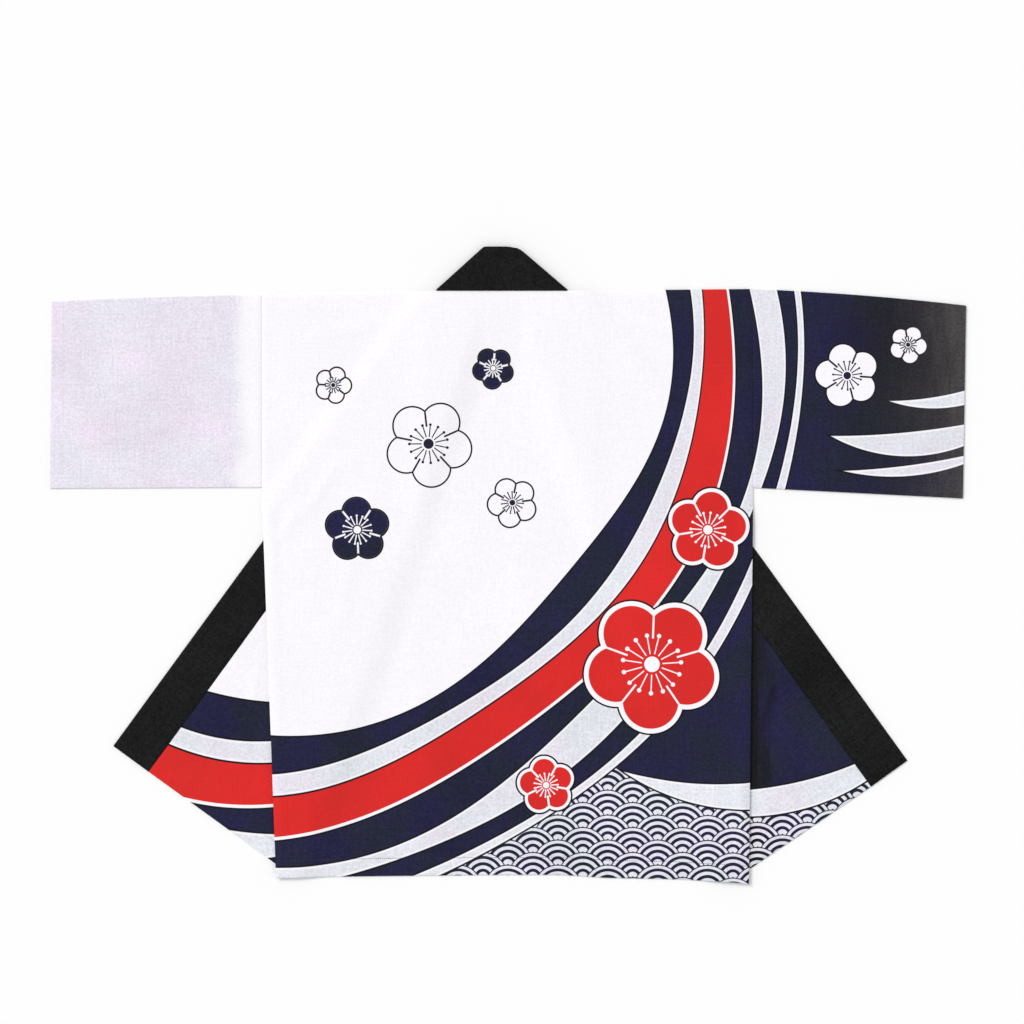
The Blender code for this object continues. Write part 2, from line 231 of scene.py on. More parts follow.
# %% The half, its folds and its collar
class Half:
    """One half of the coat, in its own plan, where the first coordinate is the way out."""

    def __init__(self, row):
        self.row = row
        self.name = row["name"]
        self.sign = row["sign"]
        self.shoulder = Vector(row["shoulder"])
        self.underarm = Vector(row["underarm"])
        self.hem_corner = Vector(row["hem_corner"])
        self.front_corner = self.hem_corner + Vector((-FRONT_TUCK, FRONT_HEM_SHORT))
        neck = Vector((row["neck_out"], NECK_Y))
        peak = Vector((row["peak_out"], NECK_Y + BAND_WIDTH))
        along = (peak - neck).normalized()
        self.mitre_out = Vector((along.y, -along.x))
        inset = Vector(((FOLD_RADIUS + PLAIN_BAND / 2) / self.mitre_out.x, 0))
        self.neck = neck - inset
        self.peak = peak - inset
        self.fold_foot = Vector(row["fold_foot"])
        head = self.peak - Vector((0, FOLD_BELOW_PEAK))
        self.fold_along = (head - self.fold_foot).normalized()
        self.fold_out = Vector((self.fold_along.y, -self.fold_along.x))
        self.place_band(math.radians(row["band_angle"]))

    def place_band(self, angle):
        """The straight run of the collar's leg on the flat cloth."""
        self.band_tip = Vector(self.row["band_tip"])
        self.band_in = Vector((-math.sin(angle), -math.cos(angle)))
        laid_up = Vector((-math.cos(angle), math.sin(angle)))
        self.band_end = self.unfold(self.band_tip)
        self.band_up = laid_up - 2 * laid_up.dot(self.fold_out) * self.fold_out
        self.band_length = (self.peak - self.band_end).dot(self.band_up)

    def unfold(self, laid):
        """Where a point of the turned-out layer lies before its front is turned out."""
        reach = (laid - self.fold_foot).dot(self.fold_out)
        return laid - (2 * reach + FOLD_ARC) * self.fold_out

    def free_edge(self, down):
        """The collar's free edge, straight, and eased in to meet the top."""
        line = self.band_end + (self.band_length - down) * self.band_up
        top = self.band_end + self.band_length * self.band_up
        return line + max(0.0, 1 - down / BAND_EASE_LENGTH) ** 2 * (self.peak - top)

    def seam_edge(self, down):
        """The place across the collar from its free edge. The leg widens towards its foot."""
        way = (self.free_edge(down + NUDGE) - self.free_edge(down - NUDGE)).normalized()
        width = BAND_WIDTH + self.row["band_flare"] * smooth(down / self.band_length, 0.1, 1.0)
        return self.free_edge(down) + width * Vector((-way.y, way.x))

    def band_row(self, down):
        """A line across the collar's leg, as (its seam end, its free end)."""
        slant = self.peak.y - self.neck.y
        seam = self.seam_edge(down + slant * (1 - down / self.band_length))
        ease = max(0.0, 1 - down / NECK_EASE_LENGTH) ** 2
        return seam + ease * (self.neck - self.seam_edge(slant)), self.free_edge(down)

    def from_fold(self, point):
        """How far out from the front's fold a point is."""
        return (point - self.fold_foot).dot(self.fold_out)

    def turned_out(self, point):
        """Whether a point of the flat cloth is past the front's fold."""
        return self.from_fold(point) < -FOLD_ARC - 1e-5

    def from_band(self, point):
        """How far in from the free edge of the turned-out collar a point is."""
        return (point - self.band_tip).dot(self.band_in)

    def past_neck(self, point):
        """How far past the slanting fold at the neck a point of the collar is."""
        return (point - self.neck).dot(self.mitre_out)

    def lift(self, point):
        """1 over the turned-out layer and its edge, and 0 where nothing lies underneath."""
        return smooth(self.from_band(point), *BAND_RAMP)

    def stand(self, laid, height):
        """A laid place of this half as a place in the scene."""
        return Vector((self.sign * laid.x, laid.y, height))

    def turn_front(self, point, middle):
        """The laid place of a point of a front or its collar."""
        past = -self.from_fold(point)
        foot = point + past * self.fold_out
        if past <= 0:
            return point, middle + LAYER_RISE * self.lift(point)
        if past < FOLD_ARC:
            angle = past / FOLD_RADIUS
            height = middle + FOLD_RADIUS * (1 + math.cos(angle))
            return foot - FOLD_RADIUS * math.sin(angle) * self.fold_out, height
        return foot + (past - FOLD_ARC) * self.fold_out, middle

    def turn_neck(self, point, middle):
        """The laid place of a point of the collar that is past the slanting fold at the neck."""
        past = self.past_neck(point)
        foot = point - past * self.mitre_out
        base = middle + LAYER_RISE
        if past < FOLD_ARC:
            angle = past / FOLD_RADIUS
            height = base + FOLD_RADIUS * (1 - math.cos(angle))
            return foot + Vector((FOLD_RADIUS * math.sin(angle) / self.mitre_out.x, 0)), height
        return foot - (past - FOLD_ARC) * self.mitre_out, base + LAYER_RISE

    def back_height(self, point):
        """How high the underside of the back is held by this half."""
        held = smooth(self.from_fold(point), *FOLD_RAMP)
        over_band = smooth(point.x, *NECK_SIDE_RAMP)
        front_top = LAYER_RISE * self.lift(point) + PLAIN_CLOTH + LAYER_GAP
        return held * (front_top + (PLAIN_BAND - PLAIN_CLOTH) * over_band)

    def neck_height(self, point):
        """How high the underside of the back is held where it meets the collar."""
        full = LAYER_RISE + PLAIN_BAND + LAYER_GAP
        return full * smooth(point.y, *NECK_DOWN_RAMP) * smooth(point.x, *NECK_SIDE_RAMP)


left_half, right_half = HALVES = [Half(row) for row in HALF_ROWS]
print("collar legs", [round(half.band_length, 3) for half in HALVES])

# %% [markdown]
# ## Soft folds
# Pressed cotton never lies quite flat. A few long, low rises cross each panel where it was handled, and the
# cloth between them rolls gently. Each one is listed with its own place, lean, length, width and height,
# because a repeated crease would look machine-made.

# %% Rises, one by one
Fold = namedtuple("Fold", "x y lean length width rise")

BACK_FOLDS = (
    Fold(-0.205, 0.020, 74, 0.34, 0.011, 0.0009),
    Fold(-0.262, 0.095, 52, 0.17, 0.008, 0.0012),
    Fold(-0.298, 0.060, 66, 0.12, 0.006, 0.0009),
    Fold(-0.120, -0.190, 96, 0.30, 0.014, 0.0007),
    Fold(0.010, -0.100, 88, 0.46, 0.017, 0.0006),
    Fold(0.060, 0.215, 80, 0.22, 0.012, 0.0007),
    Fold(0.255, 0.060, 122, 0.20, 0.009, 0.0012),
    Fold(0.300, 0.035, 108, 0.13, 0.006, 0.0010),
    Fold(0.205, -0.235, 101, 0.26, 0.012, 0.0008),
    Fold(0.282, -0.330, 84, 0.18, 0.008, 0.0010),
    Fold(-0.272, -0.340, 97, 0.16, 0.008, 0.0010),
    Fold(-0.180, -0.395, 12, 0.17, 0.007, 0.0006),
    Fold(0.115, -0.398, -9, 0.21, 0.008, 0.0007),
    Fold(-0.215, 0.318, 8, 0.19, 0.009, 0.0007),
    Fold(0.215, 0.322, -11, 0.16, 0.009, 0.0007),
)
FRONT_FOLDS = {
    "left": (
        Fold(0.352, -0.215, 98, 0.20, 0.007, 0.0011),
        Fold(0.398, -0.250, 66, 0.15, 0.009, 0.0009),
        Fold(0.430, -0.285, 128, 0.11, 0.007, 0.0007),
    ),
    "right": (
        Fold(0.349, -0.190, 92, 0.27, 0.006, 0.0030),
        Fold(0.367, -0.150, 97, 0.18, 0.0065, 0.0022),
        Fold(0.392, -0.235, 82, 0.16, 0.008, 0.0010),
        Fold(0.440, -0.290, 48, 0.13, 0.008, 0.0008),
    ),
}
SLEEVE_FOLDS = {
    "left": (
        Fold(0.395, 0.200, 38, 0.17, 0.010, 0.0011),
        Fold(0.372, 0.145, 22, 0.12, 0.007, 0.0010),
        Fold(0.500, 0.262, 8, 0.20, 0.013, 0.0008),
        Fold(0.552, 0.170, -16, 0.14, 0.010, 0.0008),
    ),
    "right": (
        Fold(0.390, 0.190, 41, 0.16, 0.009, 0.0012),
        Fold(0.376, 0.140, 18, 0.13, 0.007, 0.0010),
        Fold(0.492, 0.281, -6, 0.21, 0.014, 0.0008),
        Fold(0.556, 0.205, 24, 0.13, 0.010, 0.0009),
    ),
}
ROLL_HEIGHT = 0.0007
ROLL_SIZE = 0.11


def soft_folds(folds, x, y):
    """The height of all the rises at one place. Each one tapers out at both of its ends."""
    height = 0.0
    for fold in folds:
        lean = math.radians(fold.lean)
        dx, dy = x - fold.x, y - fold.y
        along = (dx * math.cos(lean) + dy * math.sin(lean)) / (fold.length / 2)
        if abs(along) >= 1:
            continue
        sway = 0.35 * fold.width * math.sin(3 * along + 40 * fold.x)
        across = (dy * math.cos(lean) - dx * math.sin(lean) + sway) / fold.width
        if abs(across) < 3:
            height += fold.rise * math.exp(-across * across) * (1 - along * along) ** 2
    return height


def rumple(folds, x, y):
    """The rises, and the slow, shallow rolling of cloth that isn't pinned down."""
    roll = ROLL_HEIGHT * (0.5 + 0.5 * ripple(x / ROLL_SIZE, y / ROLL_SIZE, 3.7))
    return soft_folds(folds, x, y) + roll


def puckers(from_seam, *place):
    """Small gathers beside an armhole's seam."""
    return (0.0003 + 0.00025 * ripple(*place)) * bell(from_seam - 0.006, 0.004)


# %% [markdown]
# ## From flat cloth to a wall
# Cloth is modelled as a closed wall with a printed face and a reverse. A panel starts as rows of
# points on the flat cloth. A rule lays each point on the coat, and the wall's two faces stand half a
# thickness away from it, square to the cloth. The outermost ring of points is pinched, so the edge
# comes out round. The flat place of every point is kept as its UV, so threads follow the cloth.

# %% Build a wall
RIM = 0.0006
RIM_SHARE = 0.5


def wall_points(place, sign, point):
    """The middle of the wall at a point of the flat cloth, the way out of its face, and its thickness."""
    middle, wall = place(point)
    across, along = (
        place(point + step)[0] - place(point - step)[0] for step in (Vector((NUDGE, 0)), Vector((0, NUDGE)))
    )
    return middle, across.cross(along).normalized() * sign, wall


def add_face(bm, corners, finish):
    """One face of the wall, unless its corners meet."""
    kept = [v for k, v in enumerate(corners) if (v.co - corners[k - 1].co).length > 1e-7]
    if len(kept) > 2 and not bm.faces.get(kept):
        face = bm.faces.new(kept)
        face.material_index = finish
        face.smooth = True


def start_wall():
    """An empty mesh whose points remember their flat place."""
    bm = bmesh.new()
    return bm, bm.verts.layers.float_vector.new("cloth")


def make_wall(name, rows, face_up=True):
    """A closed wall from rows of (how to place a point, sign of the half, points of the flat cloth)."""
    bm, cloth = start_wall()
    upper, lower = [], []
    last_row, last = len(rows) - 1, len(rows[0][2]) - 1
    for i, (place, sign, points) in enumerate(rows):
        upper.append([])
        lower.append([])
        for j, point in enumerate(points):
            middle, out, wall = wall_points(place, sign, point)
            rim = i in (0, last_row) or j in (0, last)
            half = out * wall / 2 * (RIM_SHARE if rim else 1.0)
            for skin, spot in ((upper, middle + half), (lower, middle - half)):
                vert = bm.verts.new(spot)
                vert[cloth] = (sign * point.x, point.y, 0)
                skin[-1].append(vert)
    fine, reverse = (0, 1) if face_up else (1, 0)
    for i in range(last_row):
        for j in range(last):
            for skin, finish, turn in ((upper, fine, 1), (lower, reverse, -1)):
                corners = [skin[i][j], skin[i][j + 1], skin[i + 1][j + 1], skin[i + 1][j]]
                add_face(bm, corners[::turn], finish)
    ring = [(0, j) for j in range(last + 1)] + [(i, last) for i in range(1, last_row + 1)]
    ring += [(last_row, j) for j in range(last - 1, -1, -1)] + [(i, 0) for i in range(last_row - 1, 0, -1)]
    for (i, j), (p, q) in zip(ring, ring[1:] + ring[:1]):
        add_face(bm, [upper[i][j], upper[p][q], lower[p][q], lower[i][j]], 0)
    return finish_wall(name, bm, cloth)


def finish_wall(name, bm, cloth):
    """Merges doubled points, turns the faces out and writes the UV map."""
    bmesh.ops.remove_doubles(bm, verts=bm.verts[:], dist=2e-6)
    bmesh.ops.recalc_face_normals(bm, faces=bm.faces[:])
    flat = bm.loops.layers.uv.new("Cloth")
    for face in bm.faces:
        for loop in face.loops:
            loop[flat].uv = loop.vert[cloth].xy
    mesh = bpy.data.meshes.new(name)
    bm.to_mesh(mesh)
    bm.free()
    return link_piece(name, mesh)


def link_piece(name, mesh):
    """Puts a mesh into the scene as one piece."""
    piece = bpy.data.objects.new(name, mesh)
    bpy.context.scene.collection.objects.link(piece)
    print(name, len(mesh.vertices), "points", len(mesh.polygons), "faces")
    return piece


def inside_rim(shares, edge):
    """Shares of the way across a panel, kept off its rim, with the rim's own at both ends."""
    return [0.0] + [min(max(share, edge), 1 - edge) for share in shares] + [1.0]


# %% [markdown]
# ## The back
# The back is one wide panel. Its hem is turned up and stitched, so the lowest 24 mm are two layers
# thick, with a small step at the stitching and fine gathers between the stitches. Its sides and
# shoulder line dip a little, where a seam pulls them down to the front beneath.

# %% The back's outline
def back_edge(half, y):
    """How far out the back reaches at this height."""
    low, high = half.hem_corner, half.underarm
    if y >= half.underarm.y:
        low, high = half.underarm, half.shoulder
    return low.x + (high.x - low.x) * (y - low.y) / (high.y - low.y)


def line_height(points, x):
    """The height of a line of straight stretches at x."""
    for start, end in zip(points, points[1:]):
        if x <= end.x or end is points[-1]:
            return start.y + (end.y - start.y) * (x - start.x) / (end.x - start.x)


def back_lines():
    """The hem line and the shoulder line of the back, from left to right."""
    corners = [Vector((h.sign * h.hem_corner.x, h.hem_corner.y)) for h in HALVES]
    hem = [corners[0].lerp(corners[1], share) + Vector((0, rise)) for share, rise in HEM_RISE]
    top = NECK_Y - SEAM_GAP
    shoulder = [Vector((-left_half.shoulder.x, left_half.shoulder.y)), Vector((-left_half.neck.x, top))]
    shoulder += [Vector((right_half.neck.x, top)), Vector(right_half.shoulder)]
    return [corners[0], *hem, corners[1]], shoulder


HEM_LINE, SHOULDER_LINE = back_lines()

# %% The back's surface
STITCH_DIP = 0.0009
SEAM_DIP = 0.0035
SEAM_PULL = 0.00045
GATHER = 0.00022
HEM_WAVE = 0.0004
PUFF = {"left": 0.0010, "right": 0.0019}


def hem_wall(above_hem):
    """How thick the cloth is, with its hem turned up."""
    return CLOTH + (HEM - CLOTH) * smooth(above_hem, *HEM_STEP_RAMP)


def hem_relief(x, above_hem):
    """Gathers along the hem's stitching, the line the thread pulls in, and the hem's own waves."""
    past = above_hem - HEM_DEPTH
    height = GATHER * (0.5 + ripple(x / 0.006, 7.1, above_hem / 0.02)) * bell(past, 0.004)
    height -= GATHER * bell(past, STITCH_DIP)
    return height + HEM_WAVE * (0.5 + ripple(x / 0.05, 1.3, 0)) * smooth(above_hem, 0.03, 0.0)


def side_puff(sides, y, above_hem):
    """How the back's sides are raised below the armholes by the turned-out fronts."""
    puff = PUFF["right" if sides[1] < sides[0] else "left"]
    puff *= smooth(y, right_half.underarm.y, right_half.underarm.y - 0.06) * smooth(above_hem, 0.0, 0.05)
    puff *= 0.8 + 0.9 * ripple(2.2, y / 0.075, 0.4)
    return puff * bell(min(sides) - 0.011, 0.0065)


def back_relief(x, y):
    """What the back adds to its plain height: folds, rolling, hem, and the pull of the seams."""
    above_hem = y - line_height(HEM_LINE, x)
    sides = [back_edge(half, y) - half.sign * x for half in HALVES]
    from_side = min(sides)
    below_top = line_height(SHOULDER_LINE, x) - y
    free = smooth(from_side, 0.0, 0.035) * smooth(below_top, 0.0, 0.03) * smooth(above_hem, 0.0, 0.02)
    height = rumple(BACK_FOLDS, x, y) * (0.15 + 0.85 * free) + hem_relief(x, above_hem)
    if y > right_half.underarm.y - 0.01:
        height += puckers(from_side, y / 0.011, 5.5, x)
    height += side_puff(sides, y, above_hem)
    height -= SEAM_PULL * smooth(from_side, SEAM_DIP, 0.0) * smooth(above_hem, 0.01, 0.04)
    return height - SEAM_PULL * smooth(below_top, SEAM_DIP, 0.0)


def place_back(point):
    """The middle of the back's wall, and its thickness."""
    seen = [Vector((half.sign * point.x, point.y)) for half in HALVES]
    held = max(half.back_height(there) for half, there in zip(HALVES, seen))
    neck = min(half.neck_height(there) for half, there in zip(HALVES, seen))
    plain = max(held, neck)
    wall = hem_wall(point.y - line_height(HEM_LINE, point.x))
    under = plain + max(back_relief(point.x, point.y), 0.0 if plain < 4e-4 else -0.0005)
    return Vector((point.x, point.y, under + wall / 2)), wall


# %% Lay the back
BACK_COLUMNS = 138
BACK_ROWS = 136
BACK_LOW = -0.43
BACK_TALL = 0.80
BACK_WIDE = 0.66
HEM_ROWS = (
    0, RIM, 0.003, 0.007, 0.012, 0.0165, 0.0195, 0.0215, 0.0227, 0.0235, 0.0243, 0.0255, 0.028, 0.032
)


def back_point(share, step):
    """The flat place at a share of the way up and a share of the way across."""
    y = BACK_LOW + share * BACK_TALL
    for _ in range(3):
        ends = [half.sign * back_edge(half, y) for half in HALVES]
        x = ends[0] + (ends[1] - ends[0]) * step
        low, high = line_height(HEM_LINE, x), line_height(SHOULDER_LINE, x)
        y = low + (high - low) * share
    return Vector((x, y))


def back_rows():
    """Rows of points from the hem up, close together where the hem is stitched."""
    shares = [h / BACK_TALL for h in HEM_ROWS]
    shares += spaced(shares[-1], 1 - RIM / BACK_TALL, BACK_ROWS)[1:] + [1.0]
    edge = RIM / BACK_WIDE
    across = [0.0, edge, *spaced(edge, 1 - edge, BACK_COLUMNS)[1:], 1.0]
    return [(place_back, 1, [back_point(share, step) for step in across]) for share in shares]


back = make_wall("back_panel", back_rows())

# %% [markdown]
# ## Fronts
# A front's flat cloth has the side seam on one side and the collar's seam on the other. Its rows run
# across, and each row is split where the long fold crosses it, with close points round the fold.
# Most of a front is hidden. What shows is the lower part beside the collar, which lies on the table.

# %% Split a row at the fold
ROLL_STEPS = 10
FRONT_STEPS = (40, 46)
LEG_STEPS = 150


def fold_row(half, start, end, near_steps, far_steps):
    """Points from start to end, with close ones where the cloth turns round the front's fold."""
    reach = half.from_fold(start)
    drop = reach - half.from_fold(end)
    first = min(max(reach / drop, 0.0), 1.0)
    last = min(max((reach + FOLD_ARC) / drop, 0.0), 1.0)
    shares = spaced(0, first, near_steps) + spaced(first, last, ROLL_STEPS)[1:]
    shares += spaced(last, 1, far_steps)[1:]
    return [start.lerp(end, share) for share in inside_rim(shares, RIM / (end - start).length)]


def leg_stations(half):
    """Places down the collar's leg, with one just inside each end."""
    inner = spaced(0, half.band_length, LEG_STEPS)[1:-1]
    return [0.0, RIM, *inner, half.band_length - RIM, half.band_length]


# %% The fronts' surface
def seam_points(half, stations):
    """The line just inside the front, along the collar's seam."""
    line = []
    for down in stations:
        ends = (max(down - 0.002, 0.0), min(down + 0.002, half.band_length))
        near, far = (half.band_row(end)[0] for end in ends)
        line.append(half.band_row(down)[0] + SEAM_GAP * square_to(near - far, 0))
    return line


def front_placer(half, seam):
    """Makes the rule that lays this half's front."""
    hem_up = square_to(seam[-1] - half.front_corner, 1)
    coarse = seam[::6] + [seam[-1]]

    def place(point):
        above_hem = (point - half.front_corner).dot(hem_up)
        turned = half.turned_out(point)
        wall = hem_wall(above_hem) if turned else CLOTH
        near_seam = smooth(min((point - spot).length for spot in coarse), *SEAM_RAMP)
        laid, height = half.turn_front(point, wall / 2 + (BAND - wall) / 2 * near_seam)
        if turned:
            edge = back_edge(half, laid.y)
            outside = smooth(laid.x, edge + 0.001, edge + 0.016)
            free = outside * (1 - near_seam) * smooth(above_hem, 0.0, 0.02)
            height += free * rumple(FRONT_FOLDS[half.name], laid.x, laid.y)
            height -= 0.0002 * outside * bell(above_hem - HEM_DEPTH, STITCH_DIP)
        return half.stand(laid, height), wall

    return place


def front_rows(half):
    """Rows from the neck down to the hem, each from the side seam to the collar's seam."""
    stations = leg_stations(half)
    seam = seam_points(half, stations)
    seam[0].y = min(seam[0].y, NECK_Y - SEAM_GAP)
    tuck = Vector((FRONT_TUCK, 0))
    side = [half.shoulder - tuck, half.underarm - tuck, half.front_corner]
    place = front_placer(half, seam)
    outer = [along_path(side, down / half.band_length) for down in stations]
    return [(place, half.sign, fold_row(half, *ends, *FRONT_STEPS)) for ends in zip(outer, seam)]


FRONT_ROWS = {half.name: front_rows(half) for half in HALVES}
fronts = {name: make_wall("front_panel_" + name, rows, False) for name, rows in FRONT_ROWS.items()}

# %% [markdown]
# ## Collar
# The collar is one long strip, folded along its length, with the raw edges inside. Only its outer edge is a
# fold. The strip passes two folds on each side, and the close points sit where it turns.

# %% The collar's face and corners
COLLAR_STEPS = (9, 10)
NECK_STEPS = 24
MITRE_STEPS = 10
CORNER_ROUND = {"left": 0.002, "right": 0.008}
CORNER_SHARE = 3.4
COLLAR_SLIP = {"left": 0.0, "right": 0.0035}
COLLAR_LIFT = 1.04


def collar_relief(down, share):
    """A slow waver of the collar's face, and the swell of the layers inside it."""
    swell = 0.00025 * math.sin(math.pi * min(max(share, 0.0), 1.0))
    return swell + 0.00035 * (0.5 + 0.5 * ripple(down / 0.06, share * 1.6, 9.2))


def settle_collar(half, laid):
    """Draws the collar up and out where it stands above the shoulders, and rounds its corners."""
    soft = CORNER_ROUND[half.name]
    past_top = laid.y - NECK_Y - BAND_WIDTH
    past_slope = (laid - half.peak).dot(half.mitre_out) - FOLD_RADIUS
    near = max(soft - abs(past_top - past_slope), 0.0) / soft
    near_edge = smooth(max(past_top, past_slope), -0.016, 0.0)
    inward = -(Vector((0, 1)) + half.mitre_out).normalized()
    laid = laid + soft / CORNER_SHARE * near * near * near_edge * inward
    slip = smooth(laid.y, NECK_Y - 0.03, NECK_Y) * smooth(laid.x, half.sign * CENTRE_BACK_X, 0.012)
    lift = max(laid.y - NECK_Y, 0.0) * (COLLAR_LIFT - 1)
    return laid + Vector((COLLAR_SLIP[half.name] * slip, lift))


def place_leg(half):
    """Makes the rule that lays the collar's leg."""

    def place(point):
        laid, height = half.turn_front(point, BAND / 2)
        edge = back_edge(half, laid.y)
        if half.turned_out(point) and laid.x > edge:
            down = (half.band_tip - laid).dot(half.band_in.orthogonal())
            relief = collar_relief(down, half.from_band(laid) / BAND_WIDTH)
            height += smooth(laid.x, edge, edge + 0.02) * relief
        return half.stand(settle_collar(half, laid), height), BAND

    return place


def place_neck(half):
    """Makes the rule that lays the part of the collar that stands above the shoulder line."""

    def place(point):
        laid, height = half.turn_neck(point, BAND / 2)
        relief = collar_relief(half.sign * laid.x, (laid.y - NECK_Y) / BAND_WIDTH)
        height += smooth(half.past_neck(point), FOLD_ARC, FOLD_ARC + 0.03) * relief
        return half.stand(settle_collar(half, laid), height), BAND

    return place


# %% The collar from hem to hem
def collar_half(half):
    """Rows from the middle of the neck down to one hem."""
    centre = half.sign * CENTRE_BACK_X
    middle = [Vector((centre, NECK_Y)), Vector((centre, NECK_Y + BAND_WIDTH))]
    middle = [point + (FOLD_ARC - 2 * half.past_neck(point)) * half.mitre_out for point in middle]
    mitre = [half.neck, half.peak]
    rolled = [point + FOLD_ARC * half.mitre_out for point in mitre]
    shares = inside_rim(spaced(0, 1, sum(COLLAR_STEPS) + ROLL_STEPS), RIM / BAND_WIDTH)
    ends = [[a.lerp(b, k) for a, b in zip(middle, rolled)] for k in spaced(0, 1, NECK_STEPS)]
    ends += [[a.lerp(b, k) for a, b in zip(rolled, mitre)] for k in spaced(0, 1, MITRE_STEPS)[1:-1]]
    rows = [(place_neck(half), half.sign, [a.lerp(b, share) for share in shares]) for a, b in ends]
    legs = [half.band_row(down) for down in leg_stations(half) if down != RIM]
    return rows + [(place_leg(half), half.sign, fold_row(half, *leg, *COLLAR_STEPS)) for leg in legs]


collar = make_wall("collar_band", collar_half(left_half)[:0:-1] + collar_half(right_half), False)

# %% [markdown]
# ## Sleeves
# A happi sleeve is a straight tube, folded along its top and sewn along its underside, so it lies as
# two layers with a round edge above and below. It is lofted from rings round the flattened tube, an
# outer skin and an inner one, closed at the cuff and at the armhole where the hem turns in.

# %% Rings round the sleeve
SLEEVE_LENGTH = 0.288
SLEEVE_SPAN = (0.10, 0.375)
SLEEVE_LENGTH_STEPS = 62
SLEEVE_HEIGHT_STEPS = 52
SLEEVE_ARC_STEPS = 8
CUFF_HEM = 0.016
CUFF_STEP = (-0.0012, 0.0006)


def sleeve_ring(low, high, radius):
    """A line round the flat tube at one station, as (place in the plan, height)."""
    along = (high - low).normalized()
    inset = (SLEEVE_RADIUS + PLAIN_CLOTH / 2) * along
    start, end = low + inset, high - inset
    level = CLOTH / 2 + SLEEVE_RADIUS
    ring = []
    for near, far, way, turn in ((start, end, along, -1), (end, start, -along, 1)):
        for share in spaced(0, 1, SLEEVE_HEIGHT_STEPS)[:-1]:
            ring.append((near.lerp(far, share), level + turn * radius))
        for angle in spaced(0, math.pi, SLEEVE_ARC_STEPS)[:-1]:
            spot = far + radius * math.sin(angle) * way
            ring.append((spot, level + turn * radius * math.cos(angle)))
    return ring


def sleeve_relief(half, spot, height, share):
    """Folds on the upper layer, the cuff's turned hem and the pull of the armhole seam."""
    top = smooth(height, CLOTH / 2 + SLEEVE_RADIUS, CLOTH / 2 + 2 * SLEEVE_RADIUS - 0.0002)
    from_seam = share * SLEEVE_LENGTH
    from_cuff = (1 - share) * SLEEVE_LENGTH
    free = smooth(from_seam, 0.0, 0.03) * smooth(from_cuff, 0.0, 0.03)
    edge = smooth(min(spot.y - SLEEVE_SPAN[0], SLEEVE_SPAN[1] - spot.y), 0.0, 0.03)
    height = free * edge * rumple(SLEEVE_FOLDS[half.name], spot.x, spot.y)
    height += 0.00035 * smooth(from_cuff, CUFF_HEM + 0.0012, CUFF_HEM - 0.0006)
    height += puckers(from_seam, spot.y / 0.011, 2.5, half.sign)
    height -= 0.0003 * smooth(from_seam, 0.003, 0.0)
    return top * height


# %% Loft the sleeves
def sleeve_skin(half, bm, cloth, shares, side):
    """The rings of the tube's outer skin (side 1) or inner skin (side -1)."""
    gap = Vector((SEAM_GAP, 0))
    starts = half.underarm + gap, half.shoulder + gap
    ends = Vector(half.row["cuff_bottom"]), Vector(half.row["cuff_top"])
    rings = []
    for share in shares:
        low, high = (start.lerp(end, share) for start, end in zip(starts, ends))
        high = high + Vector((0, half.row["sleeve_crown"] * 4 * share * (1 - share)))
        wall = CLOTH / 2 * (RIM_SHARE if share in (0.0, 1.0) else 1.0)
        ring = []
        for spot, height in sleeve_ring(low, high, SLEEVE_RADIUS + side * wall):
            vert = bm.verts.new(half.stand(spot, height + sleeve_relief(half, spot, height, share)))
            vert[cloth] = (half.sign * spot.x, spot.y, 0)
            ring.append(vert)
        rings.append(ring)
    return rings


def make_sleeve(half):
    """One sleeve as a closed tube wall."""
    bm, cloth = start_wall()
    edge = RIM / SLEEVE_LENGTH
    shares = [edge, *spaced(0, 1, SLEEVE_LENGTH_STEPS)[1:-1], 1 - edge]
    shares += [1 - CUFF_HEM / SLEEVE_LENGTH + step / SLEEVE_LENGTH for step in CUFF_STEP]
    shares = [0.0, *sorted(shares), 1.0]
    skins = [sleeve_skin(half, bm, cloth, shares, side) for side in (1, -1)]
    strips = [(*pair, finish) for finish in (0, 1) for pair in zip(skins[finish], skins[finish][1:])]
    strips += [(skins[0][end], skins[1][end], 0) for end in (0, -1)]
    for near, far, finish in strips:
        for k in range(len(near)):
            after = (k + 1) % len(near)
            add_face(bm, [near[k], near[after], far[after], far[k]], finish)
    return finish_wall("sleeve_tube_" + half.name, bm, cloth)


sleeves = {half.name: make_sleeve(half) for half in HALVES}

# %% [markdown]
# ## Small tools for nodes
# A rule in a material is a chain of small nodes. Here a wire stands for one output of a node, and it
# is added, multiplied and compared like a number, so each rule below reads as a plain sum.


# %% Wires
def operator(operation, swapped=False):
    """A method of wires that stands for an operator between numbers."""

    def method(self, other):
        return calc(operation, other, self) if swapped else calc(operation, self, other)

    return method


class Wire:
    """One output of a node. Sums with it add maths nodes to the same tree."""

    def __init__(self, node, output=0):
        self.node = node
        self.socket = node.outputs[output]
        self.tree = node.id_data

    def out(self, name):
        """Another output of the same node."""
        return Wire(self.node, name)

    def __abs__(self):
        return calc("ABSOLUTE", self)

    __add__ = operator("ADD")
    __sub__ = operator("SUBTRACT")
    __rsub__ = operator("SUBTRACT", swapped=True)
    __mul__ = operator("MULTIPLY")
    __truediv__ = operator("DIVIDE")
    __rtruediv__ = operator("DIVIDE", swapped=True)
    __lt__ = operator("LESS_THAN")
    __gt__ = operator("GREATER_THAN")


# %% Nodes
def plug(value, slot):
    """Gives an input a wire, a number, a place or a colour."""
    if isinstance(value, Wire):
        value.tree.links.new(value.socket, slot)
    else:
        slot.default_value = (*value, 1.0) if slot.type == "RGBA" else value


